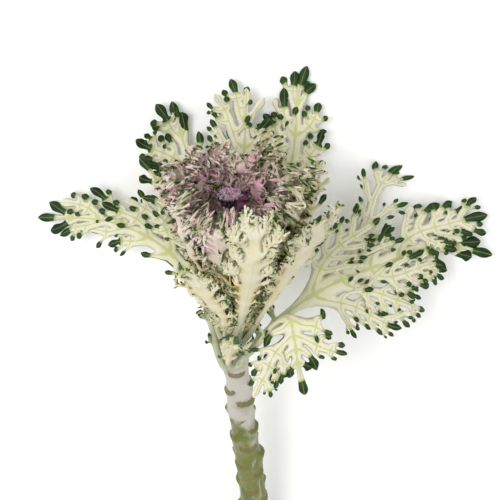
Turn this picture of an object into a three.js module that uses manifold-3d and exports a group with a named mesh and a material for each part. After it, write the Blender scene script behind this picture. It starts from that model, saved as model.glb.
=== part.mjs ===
// An ornamental kale of the feathered kind, cut for the vase and laid down on a surface.
// It lies on its cut end and its outer leaves, and its head looks up from the surface.
// Everything is modelled in millimetres in the plant's own frame, which the last lines lay down:
// +X is the plant's right hand, +Y runs from the cut end to the head, and +Z is the side it shows.
import * as THREE from "three";
import { mergeVertices } from "three/addons/utils/BufferGeometryUtils.js";
import Module from "manifold-3d";

const wasm = await Module();
wasm.setup();

// How the plant lies: its frame leans back by this much, and the origin is under the middle of it.
const LYING_TILT_DEG = 20;
const LYING_SHIFT = new THREE.Vector3(-6, 49.07, 18.86);

// Sizes of the stem and the head's axis.
const CUT_END_RADIUS = 5.7;
const NECK_RADIUS = 4.4;
const NECK_AT = 0.62;
const TOP_RADIUS = 2.6;
const TOUCHING_GAP = 0.35;
const STEM_PATH = [
  [4.5, -153, -69.7],
  [2.6, -125, -51.5],
  [0.6, -97, -33],
  [-3.2, -68, -16],
  [-5.6, -45, -2.5],
  [-6.3, -26, 10.5],
  [-6.8, -8, 25],
  [-7.3, 10, 40],
  [-7.6, 17, 46],
];
const STEM_TOP_AT = 0.7;
const SCAR_COUNT = 17;
const SCAR_RISE = 1.1;
const FIRST_SCAR_AT = 0.03;
const SCARS_SPAN = 0.56;
const SCAR_HEIGHT = 0.022;
const SCAR_SPREAD = 0.75;

// Leaf tissue. Each row of the petiole is [share of its length, of its half width, of its thickness].
const BLADE_THICKNESS = 1.2;
const BLADE_FOOT_THICKNESS = 1.8;
const PETIOLE_THICKNESS = 3.6;
const PETIOLE_ROWS = [[0, 1.25, 1], [0.5, 0.87, 0.75], [1, 0.75, 0.5]];
// The blade's rows point forward at the edge, and it narrows by this share towards its tip.
const ROW_SWEEP = 0.35;
const PALM_NARROWING = 0.45;
// A lobe's bend, where the table gives none, as a share of its angle from the midrib.
const LOBE_BEND = -0.45;
// Lobes near the leaf's foot have smaller spoon tips. Lobes this long or longer fork once or twice.
const FOOT_SPOON = 0.62;
const SHORT_LOBE = 12;
const LONG_LOBE = 26;
// A lobe's forks stand along this span of it, and their sizes are shares of its own.
const FIRST_FORK_AT = 0.2;
const FORKS_SPAN = 0.62;
const FORK_ANGLE = THREE.MathUtils.degToRad(46);
const FORK_BEND = -0.35;
const FORK_SCATTER = 0.5;
const FORK_REACH = 0.36;
const FORK_WAIST = 0.7;
const FORK_SPOON = 0.8;
const LOBE_TAPER = 0.3;

// Head.
const HEAD_LEAVES = 27;
const HEAD_FIRST_AZIMUTH_DEG = 100;
const HEAD_BASE_AT = STEM_TOP_AT + 0.006;
const RIM_RADIUS = 29;
const RIM_HEIGHT = 2;
const RIM_SHIFT = new THREE.Vector3(3.4, 5.5, 0);
const HEART_RADIUS = 5;
const HEART_HEIGHT = 7;
const HEART_LEAVES = 7;
const GOLDEN_ANGLE_DEG = 137.508;

// Outer leaves. Each leaves the stem at a place along it and an azimuth round it (0 is the front,
// 90 the right), then follows a path set by hand where the real plant holds it. The faces say
// which way its upper side looks from base to tip. Widths are half widths, and the blade starts
// and ends at these shares of the length. A lobe is [angle from the midrib, reach, rise, bend], in
// degrees and millimetres, and the lobes on each side run from base to tip.
const OUTER_LEAVES = [
  {
    name: "leaf_right",
    from: [0.64, 75],
    path: [
      [10, -30, -4], [22, -20.5, -4.5], [36, -12.5, -4], [54, -5.5, -5.7], [72, 0.5, -9.5],
      [87, 0.5, -12.5], [99, -2, -13.5],
    ],
    faces: [[-0.5, 0.6, 0.6], [-0.1, 0.1, 1], [0, 0, 1], [0.1, 0, 1]],
    petioleHalf: 2.8,
    bladeStart: 0.25,
    bladeEnd: 0.92,
    palm: 6.8,
    spoon: 2.1,
    waist: 1.8,
    seed: 11,
    left: [
      [40, 40, 10, -0.2], [40, 50, 4, -0.5], [34, 20, 12], [30, 40, 2], [44, 15, 0], [34, 11, 0],
    ],
    right: [
      [44, 40, -6, -0.5], [33, 40, -3, -0.5], [25, 38, 4, -0.6], [36, 18, -6], [34, 14, 0],
      [32, 9, 3],
    ],
  },
  {
    name: "leaf_lower",
    from: [0.625, 15],
    path: [
      [4, -35.5, 14], [10, -28, 18.5], [15, -26.5, 21.5], [17, -34, 22], [18.5, -44, 19.5],
      [21.5, -57, 12],
    ],
    faces: [[-0.6, 0.7, 0.3], [-0.4, 0.8, 0.4], [-0.2, 0.6, 0.7], [0, 0.2, 1], [0, 0, 1]],
    petioleHalf: 2.2,
    bladeStart: 0.5,
    bladeEnd: 0.92,
    palm: 4.4,
    spoon: 2.6,
    waist: 1.9,
    seed: 31,
    left: [[52, 21, 2], [36, 15, 0], [30, 8, 0]],
    right: [[44, 20, 4], [32, 12, 0], [28, 7, 0]],
  },
  {
    name: "leaf_left",
    from: [0.61, -72],
    path: [
      [-15.5, -29, 1], [-19, -19, 2], [-25.5, -8.5, 2], [-35.5, 1.5, 0], [-48, 8.5, -3],
      [-63, 12.5, -8], [-87, 13.4, -13.4],
    ],
    faces: [[0.6, 0.5, 0.6], [0.3, 0.2, 1], [0.1, 0, 1], [0, 0, 1]],
    petioleHalf: 2.6,
    bladeStart: 0.3,
    bladeEnd: 0.92,
    palm: 5,
    spoon: 2,
    waist: 1.6,
    seed: 51,
    left: [[26, 9, -5], [24, 12, -5], [22, 20, -4], [20, 24, 0], [22, 12, 0]],
    right: [[32, 22, 10], [32, 27, 14], [24, 22, 18], [34, 22, 6], [28, 12, 0]],
  },
  {
    name: "leaf_left_upper",
    from: [0.668, -92],
    path: [[-17, -14, 10], [-23, 2, 9], [-29, 15, 9], [-36, 26, 10], [-43.5, 36, 10]],
    faces: [[0.7, 0.1, 0.6], [0.4, 0, 1], [0.3, 0, 1]],
    petioleHalf: 1.9,
    bladeStart: 0.4,
    bladeEnd: 0.92,
    palm: 3.6,
    spoon: 1.6,
    waist: 1.3,
    seed: 71,
    left: [[40, 12, 0], [38, 15, 0], [36, 12, 0], [32, 8, 0]],
    right: [[36, 9, 8], [34, 12, 8], [34, 12, 5], [30, 8, 0]],
  },
  {
    name: "leaf_back_left",
    from: [0.65, -150],
    path: [[-12, -12, -5], [-17, 10, -6], [-23, 31, -2], [-27.5, 46, 2], [-31, 59, 5]],
    faces: [[0.3, 0.1, 1], [0.2, 0, 1], [0.1, -0.1, 1]],
    petioleHalf: 2.4,
    bladeStart: 0.42,
    bladeEnd: 0.92,
    palm: 4.6,
    spoon: 2,
    waist: 1.6,
    seed: 91,
    left: [[50, 18, 0], [46, 24, 0], [42, 24, 0], [34, 17, 0]],
    right: [[36, 17, 8], [36, 18, 8], [32, 15, 4], [28, 11, 0]],
  },
  {
    name: "leaf_back_mid",
    from: [0.682, 180],
    path: [[-6, -2, -2], [-3.5, 17, -1.5], [-2.5, 36, 2], [-1.8, 50, 6], [-1.4, 64, 9]],
    faces: [[0, 0.1, 1], [0, 0, 1], [0, -0.1, 1]],
    petioleHalf: 2.4,
    bladeStart: 0.46,
    bladeEnd: 0.92,
    palm: 5,
    spoon: 1.8,
    waist: 1.7,
    seed: 111,
    left: [[44, 18, 0], [36, 26, 2], [30, 26, 5], [24, 19, 0]],
    right: [[40, 12, 6], [34, 17, 8], [32, 17, 4], [26, 13, 0]],
  },
  {
    name: "leaf_back_right",
    from: [0.662, 140],
    path: [
      [3, -8, -5], [10, 12, -6], [16.5, 34, -1.5], [18.5, 50, 2.5], [19, 61, 4.5],
      [22.5, 73, 6.5],
    ],
    faces: [[-0.3, 0.1, 1], [-0.2, 0, 1], [0, -0.1, 1]],
    petioleHalf: 2.4,
    bladeStart: 0.46,
    bladeEnd: 0.92,
    palm: 4.2,
    spoon: 2.1,
    waist: 1.7,
    seed: 131,
    left: [[26, 10, 2], [26, 27, 0, -0.3], [32, 20, 0], [26, 14, 0]],
    right: [[40, 14, 4], [42, 19, 0], [42, 17, -4], [30, 12, 0]],
  },
  {
    name: "leaf_right_upper",
    from: [0.684, 104],
    path: [[9, -14, 8], [17, 2, 9], [22.5, 15, 11], [26, 25, 13], [29, 35, 14]],
    faces: [[-0.7, 0.1, 0.6], [-0.4, 0, 1], [-0.2, 0, 1]],
    petioleHalf: 1.9,
    bladeStart: 0.4,
    bladeEnd: 0.92,
    palm: 3.6,
    spoon: 1.3,
    waist: 1.3,
    seed: 151,
    left: [[36, 9, 8], [34, 10, 8], [32, 10, 4], [26, 7, 0]],
    right: [[40, 10, 0], [42, 11, 0], [38, 10, 0], [30, 7, 0]],
  },
  {
    name: "leaf_cup",
    from: [0.678, 68],
    path: [[4.5, -25, 20], [13, -12, 31], [22.5, 2, 44.5], [28, 13.5, 56]],
    faces: [[-0.75, 0.4, -0.5], [-0.75, 0.4, -0.5], [-0.8, 0.4, -0.4]],
    petioleHalf: 2.4,
    bladeStart: 0.26,
    bladeEnd: 0.84,
    palm: 12,
    spoon: 1.4,
    waist: 1.4,
    cup: 0.015,
    plain: true,
    seed: 171,
    left: [[60, 6], [44, 10], [44, 11], [30, 9]],
    right: [[64, 6], [50, 11], [44, 13], [30, 9]],
  },
  {
    name: "leaf_front",
    from: [0.688, 8],
    path: [[-2.6, -23, 31], [-0.8, -15, 48], [0.6, -7.5, 64], [1.6, 2, 75], [2.2, 12, 79]],
    faces: [[0, 0.7, -0.7], [0, 0.7, -0.7], [0, 0.8, -0.6]],
    petioleHalf: 2.6,
    bladeStart: 0.42,
    bladeEnd: 0.84,
    palm: 6,
    spoon: 1.1,
    waist: 1.1,
    cup: 0.03,
    plain: true,
    seed: 191,
    left: [[34, 8], [30, 11], [24, 10]],
    right: [[34, 8], [30, 11], [24, 10]],
  },
  {
    name: "leaf_star",
    from: [0.672, -32],
    path: [[-10.8, -25, 25.5], [-16.5, -18, 36.5], [-21, -11, 45.5], [-23.5, -7, 51]],
    faces: [[0.4, 0.7, -0.5], [0.4, 0.7, -0.5], [0.4, 0.7, -0.5]],
    petioleHalf: 1.8,
    bladeStart: 0.4,
    bladeEnd: 0.84,
    palm: 5,
    spoon: 1.1,
    waist: 1.1,
    cup: 0.01,
    plain: true,
    seed: 211,
    left: [[46, 8], [42, 9], [34, 7]],
    right: [[46, 8], [42, 9], [34, 7]],
  },
  {
    name: "leaf_basal",
    from: [0.6, -28],
    path: [[-8.5, -44, 11], [-7.5, -39, 17], [-3.5, -35.5, 22.5]],
    faces: [[0, 0.9, -0.4], [0, 0.8, -0.5], [0, 0.8, -0.5]],
    petioleHalf: 1.8,
    bladeStart: 0.3,
    bladeEnd: 0.8,
    palm: 4,
    spoon: 1.4,
    waist: 1.1,
    cup: 0.03,
    plain: true,
    seed: 231,
    left: [[50, 5.5], [40, 5]],
    right: [[50, 5.5], [40, 5]],
  },
];

const CREAM = { color: 0xdedbbd, roughness: 0.55, metalness: 0 };
const BLUSH = { color: 0xd2bdbb, roughness: 0.55, metalness: 0 };
const PLUM = { color: 0x6c4560, roughness: 0.5, metalness: 0 };
const STEM_GREEN = { color: 0xa9ad86, roughness: 0.6, metalness: 0 };

const degrees = THREE.MathUtils.degToRad;
const mix = THREE.MathUtils.lerp;

// A draw from 0 to 1 that depends only on its seed and step.
function draw(seed, step) {
  const wave = Math.sin(seed * 12.9898 + step * 78.233) * 43758.5453;
  return wave - Math.floor(wave);
}

function vector([x, y, z]) {
  return new THREE.Vector3(x, y, z);
}

// The stem and the head share one centreline.
const stemLine = new THREE.CatmullRomCurve3(STEM_PATH.map(vector), false, "centripetal");

// The centreline's point and the directions across it: front is the side shown, right is +X.
function stemFrame(at) {
  const point = stemLine.getPointAt(at);
  const along = stemLine.getTangentAt(at);
  const right = new THREE.Vector3(1, 0, 0).addScaledVector(along, -along.x).normalize();
  const front = new THREE.Vector3().crossVectors(right, along);
  return { point, along, right, front };
}

// The direction out of the stem at an azimuth round it.
function outwardOf(front, right, azimuth) {
  return front.clone().multiplyScalar(Math.cos(azimuth)).addScaledVector(right, Math.sin(azimuth));
}

// A leaf's flat plan, before it is bent along its spine. A plan point is (along, left, up), and its
// lift is half the blade's thickness there. Points on the cut edge have no lift, so both faces meet.
class Plan {
  constructor() {
    this.points = [];
    this.lifts = [];
    this.faces = [];
    this.base = null;
  }
  add(point, lift = new THREE.Vector3()) {
    this.points.push(point);
    this.lifts.push(lift);
    return this.points.length - 1;
  }
  // Two rows of left, middle and right points are joined by two four-sided faces.
  join(last, next) {
    this.faces.push([last[2], next[2], next[1], last[1]], [last[1], next[1], next[0], last[0]]);
  }
  close(last, tip) {
    this.faces.push([last[2], tip, last[1]], [last[1], tip, last[0]]);
  }
}

// A lobe grows from three points of its plan and ends in a spoon tip. At each of its bays it forks
// into two smaller lobes, which are plans of their own and start inside it.
function growLobe(plan, root, lobe) {
  const { heading, rise, reach, turn, waist, spoon, bays, seed } = lobe;
  let centre = plan.points[root[1]].clone();
  let row = root;
  let gone = 0;
  const directionAt = (distance) => {
    const head = heading + (turn * distance) / reach;
    const ahead = new THREE.Vector3(Math.cos(head), Math.sin(head), 0);
    const along = ahead.clone().multiplyScalar(Math.cos(rise)).setZ(Math.sin(rise));
    return { head, along, left: new THREE.Vector3(-ahead.y, ahead.x, 0) };
  };
  const step = (distance) => {
    const { along } = directionAt((gone + distance) / 2);
    centre = centre.clone().addScaledVector(along, distance - gone);
    gone = distance;
  };
  const section = (distance, half) => {
    step(distance);
    const { along, left } = directionAt(distance);
    const normal = new THREE.Vector3().crossVectors(along, left);
    const next = [
      plan.add(centre.clone().addScaledVector(left, half)),
      plan.add(centre.clone(), normal.multiplyScalar(BLADE_THICKNESS / 2)),
      plan.add(centre.clone().addScaledVector(left, -half)),
    ];
    plan.join(row, next);
    row = next;
    return next;
  };
  const forks = [];
  for (let bay = 0; bay < bays; bay++) {
    const distance = reach * (FIRST_FORK_AT + (FORKS_SPAN * (bay + 0.5)) / bays);
    section(distance, waist * (1 - (LOBE_TAPER * bay) / bays));
    forks.push({ foot: centre.clone(), at: (bay + 0.5) / bays, distance });
  }
  section(reach - spoon * 1.3, spoon);
  step(reach);
  plan.close(row, plan.add(centre.clone()));
  const branches = [];
  forks.forEach(({ foot, at, distance }, bay) => {
    const { head, left } = directionAt(distance);
    for (const side of [1, -1]) {
      const vary = draw(seed, bay * 2 + (side > 0 ? 1 : 2));
      const branchReach = reach * FORK_REACH * (1 - 0.4 * at) * (0.8 + 0.4 * vary);
      const branch = {
        heading: head + side * FORK_ANGLE * (0.85 + 0.3 * vary),
        rise: rise + (vary - 0.5) * FORK_SCATTER,
        reach: Math.max(branchReach, spoon * 2.4) + waist * 0.5,
        turn: side * FORK_ANGLE * FORK_BEND,
        waist: waist * FORK_WAIST,
        spoon: spoon * FORK_SPOON,
        bays: 0,
        seed: seed + 1,
      };
      branches.push(...sproutLobe(foot.clone().addScaledVector(left, side * waist * 0.4), branch));
    }
  });
  return branches;
}

// A lobe with a plan of its own, whose root is sunk into what carries it, and its branches.
function sproutLobe(foot, lobe) {
  const plan = new Plan();
  const across = new THREE.Vector3(-Math.sin(lobe.heading), Math.cos(lobe.heading), 0);
  plan.base = [
    plan.add(foot.clone().addScaledVector(across, lobe.waist * 1.2)),
    plan.add(foot.clone(), new THREE.Vector3(0, 0, BLADE_THICKNESS * 0.4)),
    plan.add(foot.clone().addScaledVector(across, -lobe.waist * 1.2)),
  ];
  return [plan, ...growLobe(plan, plan.base, lobe)];
}

// A leaf's plans: the midrib with its blade on both sides, and one lobe in each bay on each side.
// On a plain leaf the lobes carry on the blade's own edge, and on a feathered one each is a plan.
function leafPlans(leaf, length) {
  const { petioleHalf, bladeStart, bladeEnd, palm, spoon, waist, seed } = leaf;
  const blade = new Plan();
  let row = null;
  const grow = (along, half, thickness, sweep = 0) => {
    const next = [
      blade.add(new THREE.Vector3(along + sweep * half, half, 0)),
      blade.add(new THREE.Vector3(along, 0, 0), new THREE.Vector3(0, 0, thickness / 2)),
      blade.add(new THREE.Vector3(along + sweep * half, -half, 0)),
    ];
    if (row) blade.join(row, next);
    row = next;
    return next;
  };
  for (const [at, wide, thick] of PETIOLE_ROWS) {
    grow(length * bladeStart * at, petioleHalf * wide, PETIOLE_THICKNESS * thick);
    blade.base ??= row;
  }
  const bays = leaf.left.length;
  const rows = [row];
  for (let half = 1; half <= bays * 2; half++) {
    const at = half / (bays * 2);
    // The palm is widest a third of the way along and narrows to the tip.
    const swell = Math.sin(Math.PI * Math.min(1, at * 0.9 + 0.12)) ** 0.7;
    const width = mix(petioleHalf, palm, swell) * (1 - PALM_NARROWING * at);
    const thickness = mix(BLADE_FOOT_THICKNESS, BLADE_THICKNESS, at);
    rows.push(grow(length * mix(bladeStart, bladeEnd, at), width, thickness, ROW_SWEEP));
  }
  grow(length - spoon * 1.6, spoon * 1.1, BLADE_THICKNESS);
  blade.close(row, blade.add(new THREE.Vector3(length, 0, 0)));
  const plans = [blade];
  for (let bay = 0; bay < bays; bay++) {
    for (const side of [1, -1]) {
      const [angle, reach, rise = 0, bend = LOBE_BEND] = (side > 0 ? leaf.left : leaf.right)[bay];
      const corner = side > 0 ? 0 : 2;
      const lobe = {
        heading: side * degrees(angle),
        rise: degrees(rise),
        reach,
        turn: side * degrees(angle) * bend,
        waist,
        spoon: spoon * mix(leaf.plain ? 1 : FOOT_SPOON, 1, bay / bays),
        bays: leaf.plain || reach < SHORT_LOBE ? 0 : reach < LONG_LOBE ? 1 : 2,
        seed: seed + bay * 7 + (side > 0 ? 0 : 3),
      };
      const edge = rows.slice(bay * 2, bay * 2 + 3);
      if (leaf.plain) {
        const root = edge.map((points) => points[corner]);
        if (side < 0) root.reverse();
        blade.lifts[root[1]] = new THREE.Vector3(0, 0, BLADE_THICKNESS / 2);
        growLobe(blade, root, lobe);
      } else {
        const [, middle, outer] = edge.map((points) => blade.points[points[corner]]);
        const foot = new THREE.Vector3(middle.x - (outer.x - middle.x) * 0.5, middle.y * 0.35, 0);
        plans.push(...sproutLobe(foot, lobe));
      }
    }
  }
  return plans;
}

// Bends a leaf along a spine.
function bendLeaf(leaf, spine) {
  const length = spine.getLength();
  const faceAt = (at) => {
    const place = Math.min(at, 0.999) * (leaf.faces.length - 1);
    const low = Math.floor(place);
    const high = Math.min(low + 1, leaf.faces.length - 1);
    return vector(leaf.faces[low]).lerp(vector(leaf.faces[high]), place - low);
  };
  const toPlant = ({ x, y, z }) => {
    const at = THREE.MathUtils.clamp(x / length, 0, 1);
    const point = spine.getPointAt(at);
    const along = spine.getTangentAt(at);
    const up = faceAt(at);
    up.addScaledVector(along, -up.dot(along)).normalize();
    const left = new THREE.Vector3().crossVectors(up, along);
    const bow = (leaf.cup ?? 0) * y;
    const across = Math.abs(bow) < 1e-6 ? y : Math.sin(bow) / leaf.cup;
    const raised = Math.abs(bow) < 1e-6 ? 0 : (1 - Math.cos(bow)) / leaf.cup;
    const turnedUp = up.clone().multiplyScalar(Math.cos(bow)).addScaledVector(left, -Math.sin(bow));
    return point
      .addScaledVector(along, x - at * length)
      .addScaledVector(left, across)
      .addScaledVector(up, raised)
      .addScaledVector(turnedUp, z);
  };
  return leafPlans(leaf, length)
    .map((plan) => solidOfPlan(plan, toPlant))
    .reduce((whole, lobe) => whole.add(lobe));
}

// Thickens a plan into a closed solid: an upper and a lower face that meet along the cut edge.
function solidOfPlan(plan, toPlant) {
  const vertices = [];
  const put = (point) => vertices.push(...toPlant(point).toArray()) / 3 - 1;
  const upper = [];
  const lower = [];
  plan.points.forEach((point, index) => {
    const lift = plan.lifts[index];
    upper[index] = put(point.clone().add(lift));
    lower[index] = lift.lengthSq() ? put(point.clone().sub(lift)) : upper[index];
  });
  const triangles = [];
  for (const face of plan.faces) {
    for (let corner = 1; corner + 1 < face.length; corner++) {
      const [a, b, c] = [face[0], face[corner], face[corner + 1]];
      triangles.push(upper[a], upper[b], upper[c], lower[a], lower[c], lower[b]);
    }
  }
  const [left, middle, right] = plan.base;
  triangles.push(upper[right], upper[middle], upper[left], upper[right], upper[left], lower[middle]);
  return closedSolid(new Float32Array(vertices), new Uint32Array(triangles));
}

function curve(points) {
  return new THREE.CatmullRomCurve3(points.map(vector), false, "centripetal");
}

function closedSolid(vertProperties, triVerts) {
  return new wasm.Manifold(new wasm.Mesh({ numProp: 3, vertProperties, triVerts }));
}

// A closed three.js geometry as a solid for joining and cutting.
function solidOf(geometry) {
  const bare = geometry.clone();
  bare.deleteAttribute("normal");
  bare.deleteAttribute("uv");
  const merged = mergeVertices(bare, 1e-4);
  return closedSolid(merged.attributes.position.array, new Uint32Array(merged.index.array));
}

// A solid as a three.js geometry.
function geometryOf(solid) {
  const { vertProperties, triVerts, numProp } = solid.getMesh();
  const corners = new Float32Array(triVerts.length * 3);
  triVerts.forEach((vertex, index) => {
    corners.set(vertProperties.subarray(vertex * numProp, vertex * numProp + 3), index * 3);
  });
  const geometry = new THREE.BufferGeometry();
  geometry.setAttribute("position", new THREE.BufferAttribute(corners, 3));
  geometry.computeVertexNormals();
  return geometry;
}

// Stem

function stemRadius(at) {
  if (at < NECK_AT) return mix(CUT_END_RADIUS, NECK_RADIUS, at / NECK_AT);
  return mix(NECK_RADIUS, TOP_RADIUS, (at - NECK_AT) / (1 - NECK_AT));
}

// Leaf scars climb the stem in a spiral; each is a low crescent shelf.
function scarRise(at, angle) {
  let rise = 0;
  for (let scar = 0; scar < SCAR_COUNT; scar++) {
    const place = FIRST_SCAR_AT + (SCARS_SPAN * scar) / SCAR_COUNT;
    const towards = scar * degrees(GOLDEN_ANGLE_DEG) + 0.6;
    const around = Math.atan2(Math.sin(angle - towards), Math.cos(angle - towards));
    const up = (at - place) / SCAR_HEIGHT;
    const over = around / SCAR_SPREAD;
    const fall = up > 0 ? Math.exp(-up * up * 2.2) : Math.exp(-up * up * 0.25);
    rise += SCAR_RISE * fall * Math.exp(-over * over * 1.4);
  }
  return rise;
}

// A tube of the stem's radius between two places on the centreline.
function stemSolid(from, to, rings, sides) {
  const profile = [new THREE.Vector2(0, 0)];
  for (let ring = 0; ring <= rings; ring++) profile.push(new THREE.Vector2(1, ring / rings));
  profile.push(new THREE.Vector2(0, 1));
  const geometry = new THREE.LatheGeometry(profile, sides);
  const positions = geometry.getAttribute("position");
  for (let index = 0; index < positions.count; index++) {
    const [x, y, z] = [positions.getX(index), positions.getY(index), positions.getZ(index)];
    const at = mix(from, to, y);
    const { point, right, front } = stemFrame(at);
    const outward = Math.hypot(x, z);
    const angle = Math.atan2(x, z);
    const radius = outward > 0.5 ? stemRadius(at) + scarRise(at, angle) : 0;
    point.addScaledVector(front, Math.cos(angle) * radius).addScaledVector(right, Math.sin(angle) * radius);
    positions.setXYZ(index, point.x, point.y, point.z);
  }
  return solidOf(geometry);
}

// A leaf's spine starts clear of the stem's skin and then follows its path.
function outerSpine({ from: [at, azimuthDegrees], path }) {
  const { point, right, front } = stemFrame(at);
  const azimuth = degrees(azimuthDegrees);
  const outward = outwardOf(front, right, azimuth);
  const clear = stemRadius(at) + SCAR_RISE + TOUCHING_GAP + PETIOLE_THICKNESS / 2;
  return curve([point.addScaledVector(outward, clear).toArray(), ...path]);
}

// Head: leaves by the golden angle round the upper stem. The outer ones make the cup, and the inner
// ones are shorter and sit higher, so that every tip ends near the cup's rim or inside it.
function headLeaf(index) {
  const age = 1 - index / (HEAD_LEAVES - 1);
  const azimuth = degrees(HEAD_FIRST_AZIMUTH_DEG + index * GOLDEN_ANGLE_DEG);
  const place = mix(0.965, HEAD_BASE_AT + 0.006, age ** 1.15);
  const { point, right, front } = stemFrame(place);
  const top = stemFrame(1);
  const outward = outwardOf(front, right, azimuth);
  const tipRadius = mix(8, RIM_RADIUS, age) * (0.95 + 0.1 * draw(index, 1));
  const tip = top.point.clone().addScaledVector(outward, tipRadius);
  tip.addScaledVector(RIM_SHIFT, age);
  tip.addScaledVector(top.along, RIM_HEIGHT + 3 * (draw(index, 2) - 0.5) - 3 * (1 - age));
  const start = point.clone().addScaledVector(outward, stemRadius(place) * 0.5);
  const elbow = start.clone().lerp(tip, 0.5).addScaledVector(outward, mix(4.5, 2.5, age));
  const inward = outward.clone().negate();
  const length = start.distanceTo(tip);
  const reach = mix(0.3, 0.2, age) * length;
  const lobes = [[44, reach * 0.8, 5], [42, reach, 5], [32, reach, 5]].slice(age > 0.4 ? 0 : 1);
  return {
    spine: curve([start.toArray(), elbow.toArray(), tip.toArray()]),
    faces: [inward.toArray(), inward.addScaledVector(top.along, 0.5).toArray()],
    petioleHalf: mix(1.2, 3.6, age),
    bladeStart: 0.3,
    bladeEnd: 0.82,
    palm: mix(2.6, 8.5, age),
    spoon: mix(0.6, 1, age),
    waist: mix(0.5, 1.1, age),
    seed: 300 + index * 5,
    cup: mix(0.09, 0.035, age),
    plain: true,
    left: lobes,
    right: lobes,
  };
}

// The largest of the separate bodies in a solid.
function mainBody(solid) {
  return solid.decompose().reduce((largest, body) => (body.volume() > largest.volume() ? body : largest));
}

// A dome over the growing point, along the stem's axis.
function dome(radius, height) {
  const { point, along } = stemFrame(1);
  const geometry = new THREE.SphereGeometry(radius, 8, 5);
  geometry.scale(1, height / radius, 1);
  const turn = new THREE.Quaternion().setFromUnitVectors(new THREE.Vector3(0, 1, 0), along);
  geometry.applyQuaternion(turn);
  geometry.translate(point.x, point.y, point.z);
  return solidOf(geometry);
}

function headSolid() {
  let head = stemSolid(HEAD_BASE_AT, 1, 4, 10);
  for (let index = 0; index < HEAD_LEAVES; index++) {
    const leaf = headLeaf(index);
    head = head.add(bendLeaf(leaf, leaf.spine));
  }
  const room = dome(HEART_RADIUS + TOUCHING_GAP, HEART_HEIGHT + TOUCHING_GAP);
  return mainBody(head.subtract(room));
}

// The heart is a bud of short leaves that shut over the growing point.
function heartSolid() {
  const { point, along, right, front } = stemFrame(1);
  let heart = dome(HEART_RADIUS * 0.7, HEART_HEIGHT * 0.7);
  for (let index = 0; index < HEART_LEAVES; index++) {
    const azimuth = index * degrees(GOLDEN_ANGLE_DEG);
    const outward = outwardOf(front, right, azimuth);
    const age = 1 - index / HEART_LEAVES;
    const at = (out, up) =>
      point.clone().addScaledVector(outward, out).addScaledVector(along, up).toArray();
    const path = [at(1, -3.5), at(2.4 + 1.1 * age, -1.2), at(2 + 1.4 * age, 2), at(0.4 + 1.6 * age, 4.8)];
    const leaf = {
      faces: [outward.clone().negate().toArray(), outward.clone().negate().toArray()],
      petioleHalf: 1.9,
      bladeStart: 0.5,
      palm: 0,
      spoon: 1.3,
      waist: 0,
      cup: 0.2,
      seed: 0,
      left: [],
    };
    heart = heart.add(bendLeaf(leaf, curve(path)));
  }
  return mainBody(heart);
}

const plant = new THREE.Group();

function addNode(name, solid, look) {
  const mesh = new THREE.Mesh(geometryOf(solid), new THREE.MeshStandardMaterial(look));
  mesh.name = name;
  plant.add(mesh);
}

addNode("stem", stemSolid(0, STEM_TOP_AT, 32, 12), STEM_GREEN);
for (const leaf of OUTER_LEAVES) addNode(leaf.name, bendLeaf(leaf, outerSpine(leaf)), CREAM);
addNode("head", headSolid(), BLUSH);
addNode("heart", heartSolid(), PLUM);

plant.rotation.x = -degrees(LYING_TILT_DEG);
plant.position.copy(LYING_SHIFT);

export default plant;
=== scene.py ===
import math

import bpy
import numpy as np
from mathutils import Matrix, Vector


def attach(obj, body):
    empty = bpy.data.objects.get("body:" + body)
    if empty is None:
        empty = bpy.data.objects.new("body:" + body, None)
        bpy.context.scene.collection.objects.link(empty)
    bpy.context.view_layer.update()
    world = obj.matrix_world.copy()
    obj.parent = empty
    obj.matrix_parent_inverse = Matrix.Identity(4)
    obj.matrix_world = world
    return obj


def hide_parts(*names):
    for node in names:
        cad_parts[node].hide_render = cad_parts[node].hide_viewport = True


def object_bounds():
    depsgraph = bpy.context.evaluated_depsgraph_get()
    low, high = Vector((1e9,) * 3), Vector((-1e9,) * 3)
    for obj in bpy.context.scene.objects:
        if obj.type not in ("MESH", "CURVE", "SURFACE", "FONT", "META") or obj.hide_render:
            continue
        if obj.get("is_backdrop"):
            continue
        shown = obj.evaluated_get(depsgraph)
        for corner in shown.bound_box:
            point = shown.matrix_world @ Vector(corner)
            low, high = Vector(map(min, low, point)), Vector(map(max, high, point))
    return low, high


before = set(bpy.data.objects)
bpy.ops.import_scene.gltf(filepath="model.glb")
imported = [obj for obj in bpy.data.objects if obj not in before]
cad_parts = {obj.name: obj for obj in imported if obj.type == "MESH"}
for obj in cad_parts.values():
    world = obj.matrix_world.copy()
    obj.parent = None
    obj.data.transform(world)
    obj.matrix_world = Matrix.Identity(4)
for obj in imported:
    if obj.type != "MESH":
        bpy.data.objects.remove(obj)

bl_info = {
    "name": "Ornamental kale",
    "version": (1, 0, 0),
    "blender": (4, 5, 0),
    "location": "View3D > Sidebar > Kale",
    "description": "Leaves, head, heart and stem of a feathered ornamental kale, cut and laid down",
    "category": "Object",
}

CAD_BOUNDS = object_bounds()

# How the plant lies. Its pieces are laid out in millimetres in its own frame, where +X is its right
# hand, +Y runs from the cut end to the head and +Z is the side that it shows.
LYING_TILT = math.radians(-20)
LYING_SHIFT = np.array([-6, 49.07, 18.86])
METRES = 0.001

# The stem's middle line from the cut end up, its radii in millimetres and where they are reached, as
# shares of its length. Above STEM_TOP_AT it is hidden in the head.
STEM_PATH = [
    (4.5, -153, -69.7), (2.6, -125, -51.5), (0.6, -97, -33), (-3.2, -68, -16), (-5.6, -45, -2.5),
    (-6.3, -26, 10.5), (-6.8, -8, 25), (-7.3, 10, 40), (-7.6, 17, 46),
]
CUT_END_RADIUS = 5.7
NECK_RADIUS = 4.75
NECK_AT = 0.62
TOP_RADIUS = 2.6
STEM_TOP_AT = 0.7
STEM_RINGS = 300
STEM_SIDES = 60
CORE_RINGS = 40
CORE_SIDES = 24
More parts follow.
